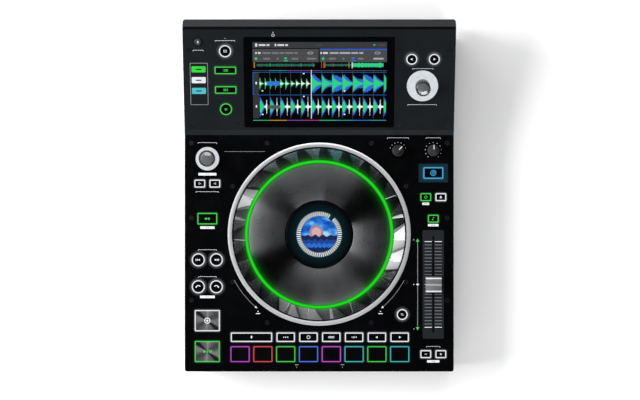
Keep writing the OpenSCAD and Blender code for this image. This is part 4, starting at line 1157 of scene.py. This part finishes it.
class PLAYER_OT_centre_display(bpy.types.Operator):
    """Round display at the head of the fixed post"""

    bl_idname = "player.centre_display"
    bl_label = "Centre display"

    def execute(self, context):
        coat("wheel_post", "glass")
        top = node_box("wheel_post")[1].z - DECK_TOP
        bm = bmesh.new()
        disc(bm, WHEEL_X, WHEEL_Y, 38.2, 0, 96, top + 0.5 * LIFT)
        printed("display_haze", bm, ["haze"])
        self.picture(top)
        self.ticks(top, context.scene.player_wheel.tick_count)
        return {"FINISHED"}

    def ticks(self, top, count):
        """Ring of ticks with a gap at the upper right."""
        bm = bmesh.new()
        for angle in (360 * i / count for i in range(count)):
            if abs(angle - TICK_GAP_AT) >= 6:
                spot = Vector((WHEEL_X, WHEEL_Y, 0)) + TICKS_R * towards(angle)
                bar(bm, spot.x, spot.y, 5.0, 0.85, angle, 0, top + LIFT)
        printed("display_ticks", bm, shades("tick", {"white": (0.9, 0.92, 0.95)}, 1.25))

    def picture(self, top):
        """Low sun over dark waves on the round display."""
        bm = bmesh.new()
        disc(bm, WHEEL_X, WHEEL_Y, PICTURE_R, 0, 72, top + LIFT)
        disc(bm, WHEEL_X - 3.5, WHEEL_Y + 2.5, 8.2, 1, 48, top + 2 * LIFT)
        disc(bm, WHEEL_X - 3.5, WHEEL_Y + 2.5, 5.6, 2, 40, top + 3 * LIFT)
        for level, height, length, index, layer in (
            (-1.5, 1.6, 9.0, 3, 4), (-6.5, 1.4, 7.0, 4, 5), (-11.0, 1.3, 6.0, 5, 6), (-15.5, 1.0, 5.0, 3, 7)
        ):
            self.wave(bm, level, height, length, index, top + layer * LIFT)
        colours = {
            "sun rim": (0.34, 0.22, 0.30), "sun": (0.62, 0.40, 0.38), "navy": (0.004, 0.014, 0.075),
            "deep blue": (0.008, 0.05, 0.26), "sea blue": (0.015, 0.14, 0.60),
        }
        printed("display_picture", bm, ["clouds", *shades("display", colours)])

    def wave(self, bm, level, height, length, index, z, count=36, rim_count=40):
        """Part of the round picture under a wavy line."""
        rim = math.asin(level / PICTURE_R)
        span = PICTURE_R * math.cos(rim)
        points = []
        for i in range(count + 1):
            x = -span + 2 * span * i / count
            ripple = height * math.sin(x * math.tau / length + level) * math.sin(math.pi * i / count)
            points.append(Vector((x, level + ripple, 0)))
        for i in range(1, rim_count):
            points.append(PICTURE_R * towards(math.degrees(rim - (math.pi + 2 * rim) * i / rim_count)))
        centre = Vector((WHEEL_X, WHEEL_Y, z))
        bm.faces.new([bm.verts.new(centre + point) for point in points]).material_index = index


# ---------------------------------------------------------------- touch screen

SCREEN_X = (-78.2, 79.4)
SCREEN_T = (9.5, 106.0)
BEAT = 0.0775  # length of a beat and place of the playhead, as shares of the screen's width
PLAYHEAD = 0.437
UPPER_LANE, LOWER_LANE, OVERVIEW = 0.515, 0.805, 0.285  # middle heights of the waves

# Bars: left, top, right and bottom as shares of the screen, colour, layer
PANEL_BARS = [
    (0, 0, 1, 0.075, 0, 1), (0, 0.085, 0.492, 0.248, 1, 1), (0.5, 0.098, 1, 0.248, 1, 1),
    (0.5, 0.080, 1, 0.098, 2, 1), (0, 0.375, 0.045, 0.655, 3, 1), (0, 0.668, 0.045, 0.95, 3, 1),
]
ACCENT_BARS = [
    (PLAYHEAD - 0.0022, 0.345, PLAYHEAD + 0.0022, 0.955, 0, 5), (0.739, 0.248, 0.744, 0.325, 0, 5),
    (0.105, 0.487, 0.202, 0.538, 6, 5), (0.105, 0.785, 0.202, 0.83, 7, 5), (0.0, 0.655, 1.0, 0.659, 6, 4),
    (0.0, 0.372, 1.0, 0.376, 6, 4), (0.0, 0.372, 0.003, 0.659, 6, 4),
    (0.232, 0.225, 0.262, 0.236, 4, 3), (0.732, 0.225, 0.768, 0.236, 6, 3),
]
CUE_FLAGS = ((0.006, 2), (0.012, 3), (0.512, 2), (0.53, 3), (0.538, 2), (0.716, 3))  # left, colour
MEMORY_MARKS = ((0.13, 4), (0.29, 5), (0.36, 4), (0.45, 4), (0.60, 2))

# Lettering: left, middle height, lengths of the words, colour, then height and layer where they differ
PANEL_WORDS = [
    (0.02, 0.037, [0.016], 4, 0.04), (0.047, 0.037, [0.05, 0.022], 4),
    (0.165, 0.037, [0.012], 4, 0.03), (0.186, 0.037, [0.05, 0.02], 4),
    (0.47, 0.037, [0.05], 1, 0.012), (0.93, 0.037, [0.055], 1, 0.016),
    (0.02, 0.135, [0.012, 0.02], 4), (0.075, 0.135, [0.06, 0.05, 0.035, 0.06, 0.025], 5),
    (0.505, 0.135, [0.012, 0.035], 4), (0.575, 0.135, [0.065, 0.08, 0.05, 0.03], 6),
    *((u, 0.205, [length], 5) for u, length in (
        (0.08, 0.05), (0.18, 0.014), (0.29, 0.05), (0.405, 0.07), (0.57, 0.05), (0.67, 0.014), (0.785, 0.04)
    )),
    (0.90, 0.205, [0.075], 6),
]
ACCENT_WORDS = [
    (0.236, 0.2, [0.02], 4), (0.738, 0.2, [0.022], 6),
    *((0.02, v, [0.010], 0, 0.03) for v in (0.508, 0.80)),
    *((u, v, [0.012], 0, 0.014, 6) for u in (0.065, 0.68) for v in (0.605, 0.90)),
    *((0.375, v, [0.012], 0, 0.014, 6) for v in (0.39, 0.675)),
]
PANEL_COLOURS = {
    "header": (0.030, 0.032, 0.034), "strip": (0.055, 0.058, 0.062), "blue line": (0.03, 0.09, 0.45),
    "lane tab": (0.022, 0.023, 0.026), "white": (0.62, 0.64, 0.66), "dim": (0.16, 0.165, 0.175),
    "mid": (0.36, 0.37, 0.39),
}
WAVE_COLOURS = {
    "green": (0.02, 0.58, 0.22), "blue": (0.02, 0.13, 0.62), "white": (0.80, 0.85, 0.82),
    "dim": (0.015, 0.11, 0.07),
}
ACCENT_COLOURS = {
    "playhead": (0.85, 0.87, 0.9), "grid": (0.10, 0.105, 0.115), "red": (0.60, 0.05, 0.03),
    "orange": (0.62, 0.28, 0.03), "green": (0.02, 0.50, 0.20), "violet": (0.20, 0.06, 0.42),
    "blue": (0.02, 0.16, 0.58), "slate": (0.07, 0.075, 0.085), "pink": (0.42, 0.03, 0.28),
    "teal": (0.02, 0.33, 0.36),
}


def ui(u, v):
    """Place on the screen from its share of the width, and of the height from the top."""
    return SCREEN_X[0] + u * (SCREEN_X[1] - SCREEN_X[0]), SCREEN_T[1] - v * (SCREEN_T[1] - SCREEN_T[0])


def ui_bar(bm, u0, v0, u1, v1, index, layer):
    """Bar between two places on the screen."""
    x0, y0 = ui(u0, v0)
    x1, y1 = ui(u1, v1)
    bar(bm, (x0 + x1) / 2, (y0 + y1) / 2, abs(x1 - x0), abs(y0 - y1), 0, index, layer * LIFT)


def words(bm, u, v, lengths, index, height=0.022, layer=3):
    """Row of short dashes in place of a line of lettering."""
    for length in lengths:
        ui_bar(bm, u, v - height / 2, u + length, v + height / 2, index, layer)
        u += length + 0.008


def column(bm, u, width, middle_v, half, index, layer):
    """One column of a wave, left out where it is too short to see."""
    if half > 0.003:
        ui_bar(bm, u, middle_v - half, u + width, middle_v + half, index, layer)


def beat(phase, sharpness):
    """Level that dies away after a beat."""
    return math.exp(-phase * sharpness)


class PLAYER_OT_screen(bpy.types.Operator):
    """Touch screen glass and what its display shows"""

    bl_idname = "player.screen"
    bl_label = "Touch screen"

    def execute(self, context):
        coat("touch_screen", "glass")
        self.panels()
        bm = bmesh.new()
        dice = random.Random(5)
        self.lanes(bm, dice)
        self.overviews(bm, dice)
        printed("screen_waves", bm, shades("wave", WAVE_COLOURS), where=FACE)
        self.accents()
        return {"FINISHED"}

    def panels(self):
        """Header, information strips and lettering."""
        bm = bmesh.new()
        for row in PANEL_BARS:
            ui_bar(bm, *row)
        for row in PANEL_WORDS:
            words(bm, *row)
        for u in (0.43, 0.93):
            outline(bm, *ui(u, 0.135), 6.2, 2.6, 1.2, 0.35, 4, 3 * LIFT)
        outline(bm, *ui(0.25, UPPER_LANE), 78.8, 26.5, 0.2, 0.01, 3, LIFT)
        printed("screen_panels", bm, shades("screen", PANEL_COLOURS), where=FACE)

    def lanes(self, bm, dice):
        """Two lanes of beat-shaped waves."""
        count = 420
        step = (0.997 - 0.05) / count
        for i in range(count):
            u = 0.05 + i * step
            phase = ((u - PLAYHEAD) % BEAT) / BEAT
            jitter = 0.82 + 0.18 * dice.random()
            # Lower lane: tall decays with a thin white tail before the next beat
            green = 0.135 * beat(phase, 3.6) * jitter if phase < 0.42 else 0.0
            blue = 0.132 * (1 - phase / 0.46) ** 0.7 * jitter if phase < 0.46 else 0.0
            white = 0.12 * beat(abs(phase - 0.66), 34) + (0.012 if 0.45 < phase < 0.97 else 0.0)
            column(bm, u, step, LOWER_LANE, blue, 1, 1)
            column(bm, u, step, LOWER_LANE, green * (0.4 + 0.6 * abs(math.sin(phase * 9))), 0, 2)
            column(bm, u, step, LOWER_LANE, white, 2, 3)
            # Upper lane: small spikes up to the playhead, big decays after it
            if u < PLAYHEAD:
                half_beat = ((u - 0.05) % (BEAT / 2)) / (BEAT / 2)
                lump = 0.085 * beat(half_beat, 3.4) * (0.5 + 0.5 * dice.random())
                column(bm, u, step, UPPER_LANE, lump, 0, 1)
                column(bm, u, step, UPPER_LANE, lump * (0.3 if u < 0.3 else 0.6), 2, 2)
            else:
                wide = 0.5 + 0.5 * math.sin((u - PLAYHEAD) * 30 + 1.5)
                body = 0.125 * beat(abs(phase - 0.2 * wide), 1.6 - wide) * jitter
                column(bm, u, step, UPPER_LANE, body, 1, 1)
                column(bm, u, step, UPPER_LANE, 0.12 * beat(phase, 2.4) * jitter, 0, 2)

    def overviews(self, bm, dice):
        """Small waves of a whole track over each half; the right one is bright towards its end."""
        step, right = 0.0029, 0.51
        for i in range(150):
            u = 0.03 + i * step
            column(bm, u, step, OVERVIEW, 0.008 + 0.012 * dice.random(), 3, 1)
            if u + right < 0.74:
                column(bm, u + right, step, OVERVIEW, 0.008 + 0.010 * dice.random(), 3, 1)
            elif u + right < 0.985:
                column(bm, u + right, step, OVERVIEW, 0.018 + 0.012 * dice.random(), 0, 1)

    def accents(self):
        """Playhead, beat grid, cue flags and small lit marks."""
        bm = bmesh.new()
        for row in ACCENT_BARS:
            ui_bar(bm, *row)
        for i in range(-5, 8):
            u = PLAYHEAD + i * BEAT
            if 0.05 < u < 0.995 and i:
                ui_bar(bm, u - 0.0008, 0.345, u + 0.0008, 0.655, 1, 4)
                ui_bar(bm, u - 0.0008, 0.668, u + 0.0008, 0.95, 1, 4)
        for u, index in CUE_FLAGS:
            ui_bar(bm, u, 0.25, u + 0.004, 0.318, index, 4)
        for u, index in MEMORY_MARKS:
            ui_bar(bm, u, 0.262, u + 0.003, 0.305, index, 4)
        # Row of eight lit tabs under the lanes and phase lamps over them
        for i, (tab, phase) in enumerate(zip((4, 3, 5, 8, 4, 9, 6, 9), (7, 9, 5, 5, 7, 7, 7, 7))):
            ui_bar(bm, i / 8, 0.972, (i + 1) / 8, 0.980, tab, 2)
            ui_bar(bm, i / 8, 0.350, (i + 1) / 8, 0.356, phase, 2)
        for u in (0.025, 0.525):
            disc(bm, *ui(u, 0.205), 1.7, 4, 24, 3 * LIFT)
        wedge(bm, *ui(0.906, 0.036), 1.6, -90, 4, 3 * LIFT)
        for row in ACCENT_WORDS:
            words(bm, *row)
        printed("screen_accents", bm, shades("screen", ACCENT_COLOURS), where=FACE)


# ---------------------------------------------------------------- knobs and fader


class PLAYER_OT_knobs(bpy.types.Operator):
    """Select, loop and side knobs"""

    bl_idname = "player.knobs"
    bl_label = "Knobs"

    def execute(self, context):
        low, high = node_box("loop_knob")
        gap = low.z - DECK_TOP
        for node, (x, y), r, top, where in (
            ("loop_knob", middle("loop_knob"), 9.8, high.z - DECK_TOP, DECK),
            ("select_knob", (SELECT_X, SELECT_T), 8.75, gap + 18, FACE),
        ):
            bm = bmesh.new()
            self.fluted(bm, x, y, r, gap, top)
            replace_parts(piece(f"{node}_grip", bm, ["knob", "knob cap"], node, where), node)
        top = node_box("stop_time_knob")[1].z - DECK_TOP
        for node, turn in (("stop_time_knob", 0), ("tension_knob", -45)):
            coat(node, "dark knob")
            bm = bmesh.new()
            bar(bm, 0, 3.7, 0.9, 5.2, 0, 0, top + LIFT)
            bm.transform(place(*middle(node), 0, turn))
            printed(f"{node}_pointer", bm, ["print"], node)
        return {"FINISHED"}

    def fluted(self, bm, x, y, radius, low, top):
        """Fluted grip over a bore; its domed crown takes the second material."""
        reach = radius + 0.5  # centres of the flutes
        cut = math.tau * radius / FLUTES * 0.31  # radius of a flute
        bore, step = 3.3, 8
        count = FLUTES * step
        sides = [
            (bore, top - 3.2), (bore, low), (radius - 0.6, low), (radius, low + 0.6), (radius, top - 2.5),
            (radius - 0.6, top - 1.6), (radius - 1.5, top - 1.0), (radius - 1.8, top - 1.35),
        ]
        shares = (1, 0.85, 0.7, 0.5, 0.3, 0.1)
        dome = [((radius - 2.1) * share, top - 0.05 - 1.3 * share * share) for share in shares]
        before = None
        for level, (r, z) in enumerate(sides + dome):
            verts = []
            for i in range(count):
                angle = math.tau * i / count
                off = ((i / step + 0.5) % 1 - 0.5) * math.tau / FLUTES
                across = reach * math.sin(off)
                inside = abs(across) < cut
                notch = reach * math.cos(off) - math.sqrt(cut * cut - across * across) if inside else radius
                here = min(r, notch)
                verts.append(bm.verts.new((x + here * math.cos(angle), y + here * math.sin(angle), z)))
            edges = [bm.edges.new((verts[i], verts[i - 1])) for i in range(count)]
            if before:
                mark(bmesh.ops.bridge_loops(bm, edges=before + edges)["faces"], int(level > len(sides)))
            if level in (0, len(sides + dome) - 1):
                bm.faces.new(verts).material_index = int(level > 0)
            before = edges


class PLAYER_OT_fader(bpy.types.Operator):
    """Pitch fader's plate, scale and cap"""

    bl_idname = "player.fader"
    bl_label = "Pitch fader"

    def execute(self, context):
        coat("fader_track", "fader plate")
        x, y = middle("fader_track")
        bm = bmesh.new()
        for i in range(-13, 14):
            w, index = (0.75, 0) if i in (-13, 0, 13) else (0.8, 1)
            for side in (-1, 1):
                bar(bm, x + side * 6.0, y + i * 3.92, 8.4, w, 0, index, LIFT)
        printed("fader_scale", bm, ["print", "tick"])
        bm = bmesh.new()
        bar(bm, x, y, 2.1, 110, 0, 0, 0.5 * LIFT)
        printed("fader_slot_shadow", bm, ["fader slot"])
        self.cap(x, y)
        return {"FINISHED"}

    def cap(self, x, y):
        """Ridged finger cap with bright bands."""
        low, high = node_box("fader_cap")
        w, end, h = high.x - low.x, (high.y - low.y) / 2, high.z - DECK_TOP
        half = [  # from the middle of the cap to its end, and up
            (end, 1.2), (end - 0.3, 5.0), (end - 0.9, h - 2.2), (end - 1.4, h), (end - 3.2, h),
            (end - 3.9, h - 1.5), (1.9, h - 2.3), (1.2, h - 1.6),
        ]
        bm = bmesh.new()
        profile = half + [(-across, up) for across, up in reversed(half)]
        side = bm.faces.new([bm.verts.new((x - w / 2, y + across, up)) for across, up in profile])
        pull(bm, side, (w, 0, 0))
        bmesh.ops.recalc_face_normals(bm, faces=bm.faces)
        bent = [e for e in bm.edges if len(e.link_faces) == 2 and abs(e.calc_face_angle(0)) > 0.6]
        soften(bm, bent, 0.22, 2)
        bmesh.ops.recalc_face_normals(bm, faces=bm.faces)
        for face in bm.faces:
            away = abs(face.calc_center_median().y - y)
            if face.normal.z > 0.9 and (away > 6.0 or away < 1.3):
                face.material_index = 1 if away > 6.0 else 2
        finishes = ["fader silver", "fader band", "fader line"]
        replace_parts(piece("fader_cap_shell", bm, finishes, "fader_cap"), "fader_cap")
        bm = bmesh.new()
        pull(bm, rounded(bm, x, y, 1.4, 8.0, 0.4, -4.0), (0, 0, 5.6))
        piece("fader_stem", bm, ["shaft"], "fader_cap")


# ---------------------------------------------------------------- studio

SOFT_BOXES = [  # name, azimuth, height in degrees, distance, width, length, share of its group's power
    ("left", 175, 36, 2.2, 1.4, 1.0, 1.6),
    ("front_left", 252, 36, 2.2, 1.3, 1.0, 0.2),
    ("front_right", 287, 34, 2.2, 1.5, 1.0, 0.7),
    ("rear_left", 140, 40, 2.2, 1.4, 1.0, 0.42),
    ("rear", 88, 58, 2.4, 1.6, 1.0, 0.48),
    ("low_left", 160, 13, 1.5, 0.5, 0.35, 0.3),
    ("low_right", 353, 13, 1.5, 1.0, 0.35, 1.2),
    ("low_front", 266, 12, 1.5, 0.9, 0.3, 0.25),
]


def area_light(name, azimuth, height, distance, width, length, power):
    """Soft box round the wheel's axis; azimuth and height in degrees, from +X and from the horizon."""
    data = bpy.data.lights.new(name, "AREA")
    data.energy = power
    data.shape = "RECTANGLE"
    data.size = width
    data.size_y = length
    level = math.radians(height)
    away = math.cos(level) * towards(azimuth) + Vector((0, 0, math.sin(level)))
    light = bpy.data.objects.new(name, data)
    light.location = Vector((WHEEL_X, WHEEL_Y, DECK_TOP)) * MM + away * distance
    light.rotation_euler = (-away).to_track_quat("-Z", "Y").to_euler()
    bpy.context.scene.collection.objects.link(light)


class PLAYER_OT_stage(bpy.types.Operator):
    """Camera, floor and soft studio light"""

    bl_idname = "player.stage"
    bl_label = "Studio"

    def execute(self, context):
        scene = context.scene
        sets = scene.player_stage
        scene.view_settings.view_transform = "Standard"
        data = bpy.data.cameras.new("camera")
        data.sensor_width = SENSOR
        data.lens = SENSOR * sets.camera_height / sets.field_width
        camera = bpy.data.objects.new("camera", data)
        camera.location = (0.00093, -0.0039, DECK_TOP * MM + sets.camera_height)
        scene.collection.objects.link(camera)
        scene.camera = camera
        self.floor()
        for name, azimuth, height, distance, width, length, share in SOFT_BOXES:
            power = sets.side_power if name.startswith("low") else sets.key_power
            area_light(name, azimuth, height, distance, width, length, power * share)
        world = bpy.data.worlds.new("studio")
        world.use_nodes = True
        sky = world.node_tree.nodes["Background"].inputs
        sky["Color"].default_value = (0.9, 0.95, 1.0, 1)
        sky["Strength"].default_value = 0.02
        scene.world = world
        return {"FINISHED"}

    def floor(self):
        """White floor under the player."""
        bm = bmesh.new()
        bmesh.ops.create_grid(bm, x_segments=1, y_segments=1, size=3.0)
        mesh = bpy.data.meshes.new("floor")
        bm.to_mesh(mesh)
        bm.free()
        material = shader("floor", (0.98, 0.98, 0.98), 0.9)
        tint(material, noise(material, 3, 2), (0.975, 0.975, 0.975), (0.985, 0.985, 0.985))
        mesh.materials.append(material)
        floor = bpy.data.objects.new("floor", mesh)
        bpy.context.scene.collection.objects.link(floor)


# ---------------------------------------------------------------- panel and registration


class PLAYER_PT_panel(bpy.types.Panel):
    """Lists the settings and the operators"""

    bl_idname = "PLAYER_PT_panel"
    bl_label = "Tabletop player"
    bl_space_type = "VIEW_3D"
    bl_region_type = "UI"
    bl_category = "Player"

    def draw(self, context):
        for group in SETTINGS:
            settings = getattr(context.scene, group)
            for name in settings.__annotations__:
                self.layout.prop(settings, name)
        for operator in OPERATORS:
            self.layout.operator(operator.bl_idname)


SETTINGS = {"player_buttons": ButtonSettings, "player_wheel": WheelSettings, "player_stage": StageSettings}
OPERATORS = [
    PLAYER_OT_case, PLAYER_OT_screen, PLAYER_OT_wheel, PLAYER_OT_centre_display, PLAYER_OT_light_guides,
    PLAYER_OT_deck_keys, PLAYER_OT_pads, PLAYER_OT_face_keys, PLAYER_OT_knobs, PLAYER_OT_fader,
    PLAYER_OT_deck_print, PLAYER_OT_console_print, PLAYER_OT_stage,
]
CLASSES = [*SETTINGS.values(), *OPERATORS, PLAYER_PT_panel]


def register():
    for cls in CLASSES:
        bpy.utils.register_class(cls)
    for group, settings in SETTINGS.items():
        setattr(bpy.types.Scene, group, bpy.props.PointerProperty(type=settings))


def unregister():
    for group in SETTINGS:
        delattr(bpy.types.Scene, group)
    for cls in reversed(CLASSES):
        bpy.utils.unregister_class(cls)


def main():
    """Builds every piece in order."""
    register()
    for operator in OPERATORS:
        group, name = operator.bl_idname.split(".")
        getattr(getattr(bpy.ops, group), name)()


if __name__ == "__main__":
    main()
